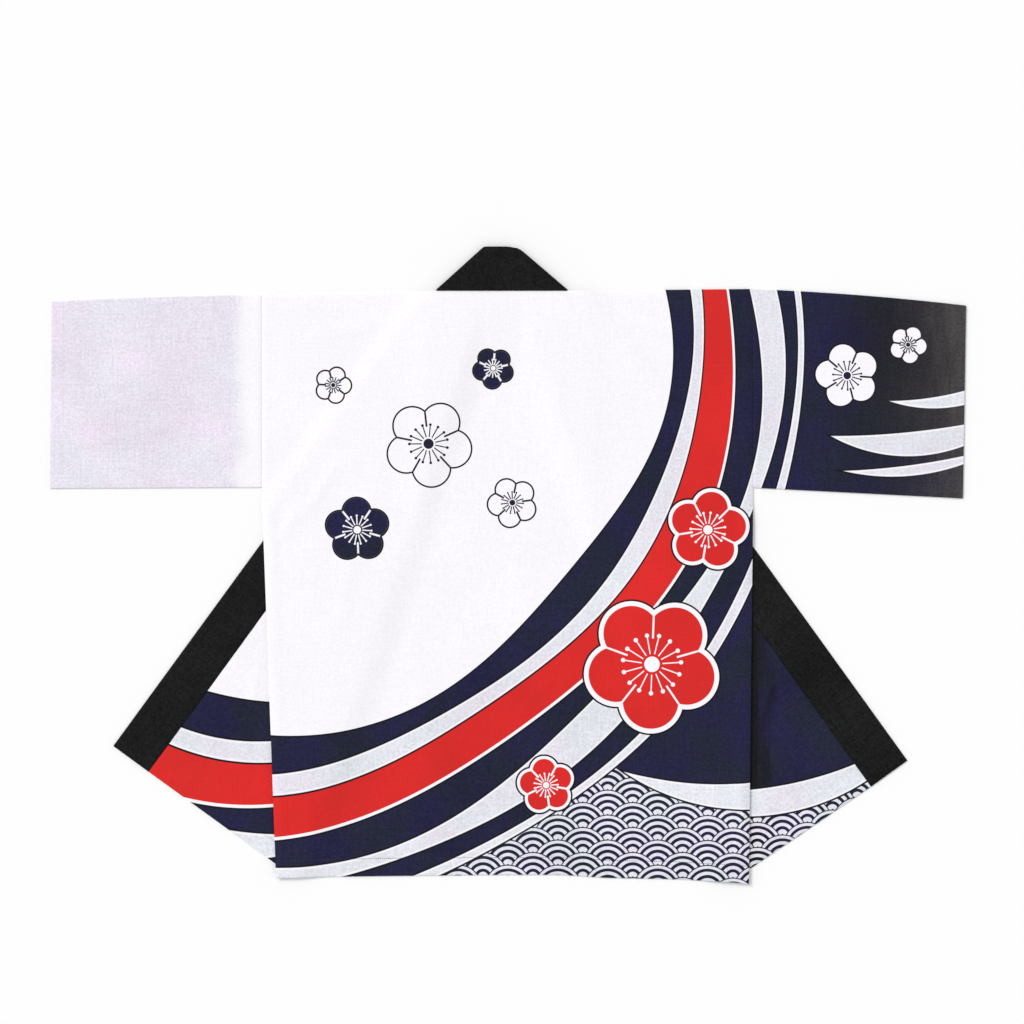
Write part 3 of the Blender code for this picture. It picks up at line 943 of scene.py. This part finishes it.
def add_node(kind, inputs, tree=None, **settings):
    """A node in the tree of its first wire, unless a tree is given. Returns its first output."""
    tree = tree or next(value.tree for value in inputs.values() if isinstance(value, Wire))
    node = tree.nodes.new(kind)
    for name, value in settings.items():
        setattr(node, name, value)
    for name, value in inputs.items():
        plug(value, node.inputs[name])
    return Wire(node)


def calc(operation, *values):
    """A maths node over numbers and wires."""
    return add_node("ShaderNodeMath", dict(enumerate(values)), operation=operation)


def ramp(value, start, end, shape="SMOOTHSTEP"):
    """0 at start and 1 at end."""
    inputs = {"Value": value, "From Min": start, "From Max": end}
    return add_node("ShaderNodeMapRange", inputs, interpolation_type=shape)


def blend(share, under, over, mode="MIX"):
    """A mix of two colours. Each is a colour or a wire."""
    inputs = {0: share, 6: under, 7: over}
    return add_node("ShaderNodeMix", inputs, data_type="RGBA", blend_type=mode).out(2)


def speckle(place, scale, detail=2.0, stretch=None):
    """Noise from 0 to 1. stretch draws it out along one way."""
    if stretch:
        place = add_node("ShaderNodeMapping", {"Vector": place, "Scale": stretch})
    return add_node("ShaderNodeTexNoise", {"Vector": place, "Scale": scale, "Detail": detail})


def parts(place):
    """The first two coordinates of a place."""
    x = add_node("ShaderNodeSeparateXYZ", {0: place})
    return x, x.out("Y")


def choose(share, under, over):
    """Over where share is 1, and under where it is 0."""
    return (over - under) * share + under


# %% Groups and materials
def make_group(name, rule, inputs, outputs, tree_kind="ShaderNodeTree"):
    """A node group whose outputs are what a rule makes of its inputs, in the same order.

    Each input has the name of its kind, or a number where it is a float with that value."""
    tree = bpy.data.node_groups.new(name, tree_kind)
    for label, value in inputs.items():
        kind = value if isinstance(value, str) else "Float"
        socket = tree.interface.new_socket(label, in_out="INPUT", socket_type="NodeSocket" + kind)
        if kind == "Float":
            socket.default_value = value
    for label in outputs:
        kind = label if label in ("Color", "Geometry") else "Float"
        tree.interface.new_socket(label, in_out="OUTPUT", socket_type="NodeSocket" + kind)
    given = tree.nodes.new("NodeGroupInput")
    result = tree.nodes.new("NodeGroupOutput")
    made = rule(*[Wire(given, label) for label in inputs])
    for label, value in zip(outputs, made if isinstance(made, tuple) else (made,)):
        plug(value, result.inputs[label])
    print(name, len(tree.nodes), "nodes")
    return tree


def use(group, **values):
    """Places a group. Its inputs are named in small letters."""
    inputs = {label.capitalize(): value for label, value in values.items()}
    return add_node("ShaderNodeGroup", inputs, node_tree=group)


def new_material(name):
    """A new material with a plain shader."""
    material = bpy.data.materials.new(name)
    material.use_nodes = True
    return material


def laid_place(material):
    """The place on the laid coat, in metres."""
    return Wire(material.node_tree.nodes.new("ShaderNodeTexCoord"), "Object")


def set_shader(material, values):
    """Gives the material's shader its values by name."""
    shader = material.node_tree.nodes["Principled BSDF"]
    for label, value in values.items():
        plug(value, shader.inputs[label])


# %% [markdown]
# ## Plain weave and uneven dye
# The coat is sheeting cotton: one thread over, one thread under, with thicker threads here and
# there. Two waves across each other give the weave, and noise drawn out along each thread gives the
# thick ones. Dye takes unevenly, so its strength drifts in broad patches, in fine grain and along
# the threads. Undyed white hardly drifts, pale dye drifts a little, and dark dye the most.

# %% The weave group
THREAD_PITCH = 0.00075
SLUB_UP = (430, 24, 1)
SLUB_ACROSS = (20, 400, 1)


def plain_weave(cloth, pitch):
    """Height of a plain weave, and how thick its threads are, from the flat cloth's own place."""
    x, y = parts(cloth)
    turn = math.pi / pitch
    weave = calc("SINE", x * turn) * calc("SINE", y * turn) * 0.5 + 0.5
    slub = speckle(cloth, 1.0, 2.0, SLUB_UP) + speckle(cloth, 1.0, 2.0, SLUB_ACROSS) - 1.0
    return slub + weave, slub


WEAVE = make_group(
    "Plain weave", plain_weave, {"Cloth": "Vector", "Pitch": THREAD_PITCH}, ("Height", "Slub")
)

# %% The dye group
DARK_DYE = (0.30, 0.08)


def uneven_dye(place, slub, dye, strength):
    """Turns a flat colour into dye on cotton."""
    shown = add_node("ShaderNodeSeparateColor", {0: dye}, mode="HSV")
    saturation = shown.out(1)
    dark = ramp(shown.out(2), *DARK_DYE)
    coloured = ramp(add_node("ShaderNodeRGBToBW", {0: dye}), 0.88, 0.80)
    grainy = coloured * (ramp(saturation, 0.80, 0.95) * -0.8 + 1.0)
    grain = speckle(place, 300.0, 3.0)

    def swing(pattern, tinted, on_white, on_tint, on_dark):
        """1 plus noise that goes a little way on white, further on a tint and furthest on dark dye."""
        return (pattern - 0.5) * (tinted * on_tint + on_white + dark * on_dark) + 1.0

    value = swing(speckle(place, 8.0, 3.0), coloured, 0.05, 0.26, 0.42)
    value = value * swing(grain, grainy, 0.17, 0.32, 0.80)
    value = value * swing(slub + 0.5, grainy, 0.06, 0.12, 0.30)
    value = calc("MAXIMUM", (value - 1.0) * strength + 1.0, 0.2)
    hue = ramp(speckle(place, 12.0, 4.0), 0.37, 0.63)
    light_tint = blend(hue, (1.014, 0.972, 1.010), (0.972, 1.006, 0.998))
    blue_tint = blend(hue, (1.03, 0.90, 1.16), (0.96, 1.10, 0.80))
    dark_tint = blend(ramp(saturation, 0.15, 0.55), (1.0, 0.985, 0.98), blue_tint)
    tint = blend(dark, light_tint, dark_tint)
    shade = add_node("ShaderNodeCombineColor", {0: value, 1: value, 2: value})
    shaded = blend(1.0, dye, shade, "MULTIPLY")
    return blend(coloured, shaded, tint, "MULTIPLY"), grain


DYE = make_group(
    "Uneven dye",
    uneven_dye,
    {"Place": "Vector", "Slub": 0.0, "Dye": "Color", "Strength": 1.0},
    ("Color", "Grain"),
)

# %% [markdown]
# ## The print
# The print is a generic one in this kind of coat's usual colours: bands of flowing water sweep from
# the right shoulder to the left hem, round plum flowers float beside them, and overlapping wave
# scales fill the ground above the hem. Every edge is a distance worked out from the place on the
# cloth, so it stays sharp at any size. A dark line runs along each edge with a thin white one
# inside it, as on cloth dyed through a stencil.

# %% Inks and lines
INK = {
    "navy": (0.0150, 0.0158, 0.0450),
    "night": (0.0150, 0.0148, 0.0200),
    "white": (0.930, 0.912, 0.948),
    "pale": (0.770, 0.772, 0.825),
    "red": (0.680, 0.0230, 0.0210),
    "line": (0.0070, 0.0070, 0.0085),
}
EDGE_SOFT = 0.00025
LINE = 0.0023
INNER = 0.0027
INNER_HALF = 0.0009


def stripe(gone, half_width):
    """1 within half_width of where gone is 0."""
    return ramp(half_width - abs(gone), -EDGE_SOFT, EDGE_SOFT)


def reach_of(x, y):
    """How far (x, y) is from 0."""
    return calc("SQRT", x * x + y * y)


def moved(place, x, y):
    """The place seen from (x, y)."""
    return add_node("ShaderNodeVectorMath", {0: place, 1: (x, y, 0)}, operation="SUBTRACT")


# %% One edge of a printed band
def printed_edge(distance, along, place, sway, waves, start, inner):
    """Which side of a swaying edge a place is on, its dark line, and the white line beside that."""
    edge = calc("SINE", along * waves + start) * sway + place
    gone = distance - edge
    return ramp(gone, -EDGE_SOFT, EDGE_SOFT), stripe(gone, LINE / 2), stripe(gone - inner, INNER_HALF)


EDGE = make_group(
    "Printed edge",
    printed_edge,
    {"Distance": 0.0, "Along": 0.0, "Place": 0.0, "Sway": 0.0, "Waves": 1.0, "Start": 0.0, "Inner": 0.0},
    ("Beyond", "Outline", "Inner"),
)


# %% A swoosh of water
def water_swoosh(place, radius, middle, spread, width):
    """A band along an arc round 0 that tapers to a point at both ends."""
    x, y = parts(place)
    past = reach_of(x, y) - radius
    turn = calc("ARCTAN2", y, x) - middle
    along = calc("WRAP", turn, math.pi, -math.pi) / spread
    gone = abs(past) - width * (1.0 - along * along)
    return ramp(gone, EDGE_SOFT, -EDGE_SOFT), stripe(gone, LINE / 2), stripe(gone + INNER, INNER_HALF)


SWOOSH = make_group(
    "Water swoosh",
    water_swoosh,
    {"Vector": "Vector", "Radius": 0.3, "Middle": 0.0, "Spread": 0.5, "Width": 0.012},
    ("Inside", "Outline", "Inner"),
)

# %% A plum flower
FIFTH = math.pi / 5
STAMEN_TURN = math.pi / 15
STALK_START = 0.16
STALK_END = 0.42
BEAD_REACH = 0.45
HEART = 0.12
PETAL_REACH = 0.57
PETAL_RADIUS = 0.43
MIDDLE_RADIUS = 0.4


def stamens(reach, angle, size):
    """Fine stalks with a bead at each tip, and the round heart they stand on."""
    share = reach / size
    off = abs(reach * calc("SINE", calc("WRAP", angle, STAMEN_TURN, -STAMEN_TURN)))
    stalks = ramp(off, 0.0010, 0.0006) * (share > STALK_START) * (share < STALK_END)
    beads = ramp(reach_of(reach - size * BEAD_REACH, off) / size, 0.036, 0.030)
    return calc("MAXIMUM", calc("MAXIMUM", stalks, beads), share < HEART)


def plum_flower(place, size, turn, ring):
    """A round five-petalled flower: its petals, the ring outside them, its outline and fine details."""
    x, y = parts(place)
    reach = reach_of(x, y)
    angle = calc("ARCTAN2", y, x) + turn
    fifth = calc("WRAP", angle, FIFTH, -FIFTH)
    out = reach * calc("COSINE", fifth)
    side = reach * calc("SINE", fifth)
    petal = reach_of(out - size * PETAL_REACH, side) - size * PETAL_RADIUS
    past_middle = reach - size * MIDDLE_RADIUS
    gone = calc("SMOOTH_MIN", petal, past_middle, 0.004)
    petals = ramp(gone, EDGE_SOFT, -EDGE_SOFT)
    gap = reach * calc("SINE", FIFTH - abs(fifth))
    veins = ramp(gap, 0.0016, 0.0010) * (past_middle > 0.0)
    detail = calc("MAXIMUM", veins, stamens(reach, angle, size)) * petals
    past_ring = gone - ring
    outline = stripe(past_ring - LINE / 2, LINE / 2)
    return petals, ramp(past_ring, EDGE_SOFT, -EDGE_SOFT), outline, detail


FLOWER = make_group(
    "Plum flower",
    plum_flower,
    {"Vector": "Vector", "Size": 0.05, "Turn": 0.0, "Ring": 0.006},
    ("Petals", "Ring", "Outline", "Detail"),
)

# %% Overlapping wave scales
SCALE_RINGS = ((0.90, 0.055), (0.66, 0.065), (0.40, 0.065), (0.12, 0.09))
SCALE_SOFT = 0.006


def scale_row(x, y, size, number):
    """How far out in its scale a place is, from 0 at the middle to 1 at the rim, for one row."""
    odd = calc("FLOORED_MODULO", number, 2.0)
    dx = calc("WRAP", x - odd * size, size, size * -1.0)
    dy = y - number * (size * 0.5)
    return reach_of(dx, dy) / size


def wave_scales(place, size):
    """The old pattern of overlapping waves. Each scale is a set of rings, and lower rows lie on top."""
    x, y = parts(place)
    first = calc("CEIL", (y - size) / (size * 0.5))
    rows = [scale_row(x, y, size, first + k) for k in (0.0, 1.0, 2.0)]
    share = choose(rows[1] < 1.0, rows[2], rows[1])
    share = choose(rows[0] < 1.0, share, rows[0])
    rings = 0.0
    for centre, half_width in SCALE_RINGS:
        band = ramp(abs(share - centre), half_width + SCALE_SOFT, half_width - SCALE_SOFT)
        rings = calc("MAXIMUM", rings, band)
    return rings


SCALES = make_group("Wave scales", wave_scales, {"Vector": "Vector", "Size": 0.04}, ("Rings",))

# %% [markdown]
# ## Put the print together
# The water is a set of bands round one far centre. How far a place lies past the first edge, and the
# angle round the centre, are its two coordinates. Swooshes and flowers are placed one at a time.

# %% Where everything in the print goes
Band = namedtuple("Band", "place sway waves start ink inner line")
Swoosh = namedtuple("Swoosh", "x y radius middle spread width")
Flower = namedtuple("Flower", "x y size turn ring inks")

WATER_CENTRE = (-0.280, 0.360)
WATER_BANDS = (
    Band(0.000, 0.007, 6.0, 0.4, "navy", 0.0, True),
    Band(0.036, 0.006, 7.0, 1.9, "pale", INNER, True),
    Band(0.062, 0.007, 6.5, 3.1, "red", -INNER, True),
    Band(0.112, 0.008, 5.5, 4.4, "white", 0.0, False),
    Band(0.117, 0.008, 5.5, 4.4, "navy", 0.0, True),
    Band(0.150, 0.009, 6.0, 5.6, "pale", INNER, True),
    Band(0.186, 0.008, 7.0, 0.9, "navy", -INNER, True),
    Band(0.212, 0.009, 6.2, 2.4, "pale", INNER, True),
    Band(0.227, 0.009, 6.2, 2.7, "navy", -INNER, True),
)
SHORE = Swoosh(0.310, 0.050, 0.365, -1.40, 0.62, 0.020)
SWOOSHES = (
    SHORE,
    Swoosh(0.528, 0.500, 0.336, -1.45, 0.40, 0.018),
    Swoosh(0.500, 0.560, 0.434, -1.42, 0.27, 0.0085),
    Swoosh(0.560, 0.472, 0.252, -1.30, 0.46, 0.0105),
)
SCALES_TOP = -0.2
SCALE_SIZE = 0.034
RED = ("white", "red", "white")
LINED = ("white", "white", "navy")
NAVY = ("navy", "navy", "white")
FLOWERS = (
    Flower(0.196, -0.135, 0.088, 0.35, 0.0065, RED),
    Flower(0.272, 0.048, 0.052, 1.10, 0.0050, RED),
    Flower(0.052, -0.300, 0.036, 0.80, 0.0040, RED),
    Flower(-0.108, 0.165, 0.058, 0.20, 0.0, LINED),
    Flower(0.006, 0.085, 0.033, 0.50, 0.0, LINED),
    Flower(-0.238, 0.245, 0.024, 1.30, 0.0, LINED),
    Flower(-0.205, 0.048, 0.043, 0.90, 0.0, NAVY),
    Flower(-0.020, 0.268, 0.027, 0.40, 0.0, NAVY),
    Flower(0.462, 0.258, 0.043, 0.70, 0.0, LINED),
    Flower(0.545, 0.300, 0.025, 0.15, 0.0, LINED),
)


def columns(row, names):
    """Some columns of a row, by name."""
    return {name: getattr(row, name) for name in names.split()}


# %% Lay bands, swooshes and flowers over a colour
def add_bands(colour, distance, along):
    """Lays the water over a colour. Returns it, the outlines, and where the last band's far side is."""
    line = 0.0
    for row in WATER_BANDS:
        values = columns(row, "place sway waves start inner")
        edge = use(EDGE, distance=distance, along=along, **values)
        colour = blend(edge, colour, INK[row.ink])
        if row.inner:
            colour = blend(edge.out("Inner"), colour, INK["white"])
        if row.line:
            line = calc("MAXIMUM", line, edge.out("Outline"))
    return colour, line, edge


def add_swoosh(colour, line, place, row, where):
    """Lays one pale swoosh over a colour, where the mask is 1."""
    values = columns(row, "radius middle spread width")
    water = use(SWOOSH, vector=moved(place, row.x, row.y), **values)
    inside = water * where
    colour = blend(inside, colour, INK["pale"])
    colour = blend(water.out("Inner") * inside, colour, INK["white"])
    outline = water.out("Outline") * where
    return colour, calc("MAXIMUM", choose(inside, line, 0.0), outline)


def add_flower(colour, line, place, row):
    """Lays one flower over a colour, with the inks of its ring, its petals and its details."""
    flower = use(FLOWER, vector=moved(place, row.x, row.y), **columns(row, "size turn ring"))
    for part, ink in zip(("Ring", "Petals", "Detail"), row.inks):
        colour = blend(flower.out(part), colour, INK[ink])
    cleared = choose(flower.out("Ring"), line, 0.0)
    return colour, calc("MAXIMUM", cleared, flower.out("Outline"))


# %% The whole print as one group
def water_place(x, y):
    """How far past the water's first edge a place is, and its angle round the centre."""
    dx = x - WATER_CENTRE[0]
    dy = WATER_CENTRE[1] - y
    angle = calc("ARCTAN2", dy, dx)
    sine = calc("SINE", angle)
    bulge = sine * sine * 0.100 + 0.485
    sway = calc("SINE", angle * 4.0 + 0.6) * 0.020
    past = reach_of(dx, dy) - (bulge + sway)
    return past / (angle * 0.20 + 0.80), angle


def coat_print(place):
    """The colour of the print at a place on the laid coat, in metres."""
    x, y = parts(place)
    distance, angle = water_place(x, y)
    colour, line, ground = add_bands(INK["white"], distance, angle)
    below = reach_of(*parts(moved(place, SHORE.x, SHORE.y))) > SHORE.radius
    scales = use(SCALES, vector=place, size=SCALE_SIZE) * below * (y < SCALES_TOP) * ground
    colour = blend(scales, colour, INK["pale"])
    for row in SWOOSHES:
        colour, line = add_swoosh(colour, line, place, row, ground)
    for row in FLOWERS:
        colour, line = add_flower(colour, line, place, row)
    return blend(line, colour, INK["line"])


PRINT = make_group("Coat print", coat_print, {"Vector": "Vector"}, ("Color",))

# %% [markdown]
# ## Cloth materials
# Every cloth here is the same cotton with a different dye, so one function builds them all. The
# colour comes from the print or is plain, the dye group makes it uneven, and the weave makes the
# bump. Cotton is matt with a faint sheen from loose fibres. The reverse of a print is paler.

# %% Where the dye has changed, and painted shade beside the right side seam
WORN = (0.077, 0.070, 0.069)
# Painted shade: its colour, and the slanting line of the crease whose shade is painted.
PAINTED_SHADE_BLACK = (0.0075, 0.0075, 0.0085)
CREASE_SHADE_LEAN = -0.28
CREASE_SHADE_X = 0.4084


def dark_only(colour):
    """1 on dark dye and 0 on pale dye."""
    return ramp(add_node("ShaderNodeSeparateColor", {0: colour}, mode="HSV").out(2), *DARK_DYE)


def fade_cuff(place, colour):
    """The navy sleeve goes blackish half way down and grey at its cuff, in streaks along the threads."""
    x, y = parts(place)
    streaked = (speckle(place, 1.0, 3.0, (70, 16, 1)) - 0.5) * 0.07 + x
    dark = dark_only(colour)
    upper = ramp(y, 0.12, 0.26) * 0.45 + 0.45
    colour = blend(ramp(streaked, 0.42, 0.53) * upper * dark, colour, INK["night"])
    worn = calc("POWER", ramp(streaked, 0.495, 0.640, "LINEAR"), 2.0)
    return blend(worn * dark, colour, WORN)


def paint_side_shade(place, colour):
    """Painted shade: darkens dark dye beside the right front's side seam nearly to black, in place of the
    shadow of the back's raised edge, and paints the shade of one crease further out.
    """
    x, y = parts(place)
    streaks = speckle(place, 1.0, 3.0, (85, 9, 1)) - 0.5
    # Painted shadow of the back's raised edge: a wide strip with ragged streaks, and a dark line right at
    # the edge.
    side_shade = ramp(streaks * 0.055 + x, 0.366, 0.340) * 0.75
    edge = ramp(x, 0.346, 0.338)
    # Painted shade in the valley of one crease, between two heights.
    off = abs(streaks * 0.012 + (y * CREASE_SHADE_LEAN + x) - CREASE_SHADE_X)
    span = ramp(y, -0.150, -0.172) * ramp(y, -0.262, -0.236)
    crease_shade = ramp(off, 0.0085, 0.001) * span * 0.6
    shade_mask = calc("MAXIMUM", calc("MAXIMUM", side_shade, crease_shade), edge)
    return blend(shade_mask * dark_only(colour), colour, PAINTED_SHADE_BLACK)


def whiten_seam(place, colour):
    """The tint of the white sleeve thins out towards the armhole."""
    x, _ = parts(place)
    drift = (speckle(place, 14.0, 3.0) - 0.5) * 0.06
    return blend(ramp(drift + x, -0.385, -0.352), colour, INK["white"])


# %% Cotton in any colour
ROUGH = 0.88
WEAVE_DEPTH = 0.00014


def cotton(name, colour=None, shift=(0, 0, 0), change=None, reverse=False, bump=0.4, grain=1.0):
    """A cotton material, printed where no colour is given."""
    material = new_material(name)
    place = laid_place(material)
    flat = add_node("ShaderNodeUVMap", {}, material.node_tree, uv_map="Cloth")
    weave = use(WEAVE, cloth=flat, pitch=THREAD_PITCH)
    moved_print = {"Vector": place, "Location": shift}
    dyed = colour or use(PRINT, vector=add_node("ShaderNodeMapping", moved_print))
    if change:
        dyed = change(place, dyed)
    if reverse:
        dyed = blend(0.35, dyed, (0.55, 0.55, 0.60))
    uneven = use(DYE, place=place, slub=weave.out("Slub"), dye=dyed, strength=grain)
    raised = add_node("ShaderNodeBump", {"Strength": bump, "Distance": WEAVE_DEPTH, "Height": weave})
    set_shader(material, {
        "Base Color": uneven,
        "Roughness": uneven.out("Grain") * 0.10 + (ROUGH - 0.05),
        "Normal": raised,
        "Specular IOR Level": 0.15,
        "Sheen Weight": 0.03,
        "Sheen Roughness": 0.5,
    })
    return material


def dress(piece, face, reverse):
    """Gives a wall its two finishes."""
    piece.data.materials.append(face)
    piece.data.materials.append(reverse)
    print(piece.name, "in", face.name)


# %% Dress the six pieces
WHITE_SLEEVE = (0.800, 0.757, 0.842)
WHITE_REVERSE = (0.78, 0.75, 0.82)
NAVY_REVERSE = (0.05, 0.05, 0.085)
BLACK = (0.0070, 0.0073, 0.0076)

front_finishes = {
    "left": cotton("printed cotton left front", shift=(0, -0.045, 0)),
    # The right front gets painted shade beside its side seam.
    "right": cotton("printed cotton right front", shift=(0, 0.010, 0), change=paint_side_shade),
}
white_sleeve = cotton("white sleeve cotton", colour=WHITE_SLEEVE, change=whiten_seam)
printed_reverse = cotton("printed cotton reverse", reverse=True)
black = cotton("black collar cotton", colour=BLACK, bump=0.55, grain=2.4)

dress(back, cotton("printed cotton"), printed_reverse)
for name, finish in front_finishes.items():
    dress(fronts[name], finish, printed_reverse)
dress(sleeves["left"], white_sleeve, cotton("white sleeve reverse", colour=WHITE_REVERSE))
dress(sleeves["right"], cotton("navy sleeve cotton", change=fade_cuff),
      cotton("navy sleeve reverse", colour=NAVY_REVERSE))
dress(collar, black, black)

# %% [markdown]
# ## Stitches
# Machine stitching is a row of short threads, each dipping into the cloth at both ends. Geometry
# Nodes put one small thread on every step of a guide line, and the guide lies on the panel's
# printed face. The hem is sewn in dark thread, which shows as a thin broken line on the pale parts.

# %% The stitch tree
STITCH = 0.0028
STITCH_GAP = 0.0006
THREAD = 0.00095


def machine_stitches(guide, step, gap, thread, material):
    """Short threads along every curve of the object."""
    spots = add_node("GeometryNodeCurveToPoints", {"Curve": guide, "Length": step}, mode="LENGTH")
    size = add_node("ShaderNodeCombineXYZ", {"X": thread, "Y": thread, "Z": step - gap})
    ball = add_node("GeometryNodeMeshIcoSphere", {"Radius": 0.5, "Subdivisions": 1}, guide.tree)
    stitch = add_node("GeometryNodeTransform", {"Geometry": ball, "Scale": size})
    inputs = {"Points": spots, "Rotation": spots.out("Rotation"), "Instance": stitch}
    copies = add_node("GeometryNodeInstanceOnPoints", inputs)
    real = add_node("GeometryNodeRealizeInstances", {"Geometry": copies})
    return add_node("GeometryNodeSetMaterial", {"Geometry": real, "Material": material})


STITCHES = make_group(
    "Machine stitches",
    machine_stitches,
    {"Geometry": "Geometry", "Step": STITCH, "Gap": STITCH_GAP, "Thread": THREAD, "Material": "Material"},
    ("Geometry",),
    "GeometryNodeTree",
)


# %% Thread, and how it is sewn
def thread_finish(name, colour):
    """Sewing thread, paler where its strands catch the light."""
    material = new_material(name)
    twist = speckle(laid_place(material), 900.0)
    light = tuple(channel * 1.9 for channel in colour)
    set_shader(material, {"Base Color": blend(twist, colour, light), "Roughness": 0.7})
    return material


def sew(name, lines, finish):
    """One mesh of stitches along the given lines of points."""
    guide = bpy.data.curves.new(name, "CURVE")
    guide.dimensions = "3D"
    for line in lines:
        spline = guide.splines.new("POLY")
        spline.points.add(len(line) - 1)
        for spot, corner in zip(spline.points, line):
            spot.co = (*corner, 1.0)
    sewn = bpy.data.objects.new(name, guide)
    bpy.context.scene.collection.objects.link(sewn)
    modifier = sewn.modifiers.new("stitches", "NODES")
    modifier.node_group = STITCHES
    for item in STITCHES.interface.items_tree:
        if item.in_out == "INPUT" and item.name == "Material":
            modifier[item.identifier] = finish
    bpy.context.view_layer.update()
    mesh = bpy.data.meshes.new_from_object(sewn.evaluated_get(bpy.context.evaluated_depsgraph_get()))
    mesh.name = name
    bpy.data.objects.remove(sewn)
    for polygon in mesh.polygons:
        polygon.use_smooth = True
    return link_piece(name + "_thread", mesh)


# %% Guide lines for the thread
THREAD_ABOVE = 0.00005
HEM_GUIDE_Y = -0.4


def on_face(place, sign, point, face=1):
    """A place just on the outer face of a wall."""
    middle, out, wall = wall_points(place, sign, point)
    return middle + out * face * (wall / 2 + THREAD_ABOVE)


def wander(along):
    """How far a seam sewn by hand and eye strays from its line."""
    return 0.0011 * ripple(along / 0.045, 8.8, 0.3)


def shows(half, place, point):
    """Whether a point of a front lies on the turned-out part, clear of the back's edge."""
    laid = place(point)[0]
    clear = half.sign * laid.x > back_edge(half, laid.y) + 0.001
    return clear and half.from_fold(point) < -FOLD_ARC - 0.004


def back_hem():
    """The stitching line of the back's hem."""
    xs = spaced(*[half.sign * (back_edge(half, HEM_GUIDE_Y) - 0.003) for half in HALVES], 320)
    line = [Vector((x, line_height(HEM_LINE, x) + HEM_DEPTH + wander(x))) for x in xs]
    return [on_face(place_back, 1, point) for point in line]


def front_hem(half):
    """The stitching line of a front's hem, where the front is turned out."""
    rows = FRONT_ROWS[half.name]
    place, start, end = rows[0][0], half.front_corner, rows[-1][2][-1]
    up = square_to(end - start, 1)
    line = [start.lerp(end, share) + HEM_DEPTH * up for share in spaced(0.12, 0.99, 160)]
    return [on_face(place, half.sign, point, -1) for point in line if shows(half, place, point)]


dark_thread = thread_finish("dark thread", (0.016, 0.016, 0.024))
hem_lines = [back_hem()] + [front_hem(half) for half in HALVES]
hem_stitches = sew("hem_stitches", hem_lines, dark_thread)

# %% [markdown]
# ## Table
# The coat lies on a plain white sheet, which isn't part of it.

# %% The white table
TABLE_WHITE = (0.953, 0.953, 0.953)


def add_table():
    """A wide pale plane just under the coat."""
    bpy.ops.mesh.primitive_plane_add(size=30, location=(0, 0, -0.0002))
    table = bpy.context.object
    table.name = "white_table"
    material = new_material("white table")
    set_shader(material, {"Base Color": TABLE_WHITE, "Roughness": 0.95, "Specular IOR Level": 0.1})
    table.data.materials.append(material)
    return table


print(add_table().name, "under the coat")

# %% [markdown]
# ## The fine pieces in place of the plain ones
# Each fine panel stands for the plain one at the same place, which is hidden. The area of each one's cloth
# is printed.


# %% What stands for what
def hand_over(piece, node):
    """This piece stands for a node of the plain coat. Prints the cloth's own area, half its surface."""
    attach(piece, "root")
    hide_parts(node)
    print(piece.name, "area", round(sum(polygon.area for polygon in piece.data.polygons) / 2, 4))


hand_over(back, "back")
hand_over(collar, "collar")
for half in HALVES:
    hand_over(fronts[half.name], "front_" + half.name)
hand_over(sleeves["left"], "sleeve_left")
hand_over(sleeves["right"], "sleeve_right")
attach(hem_stitches, "root")
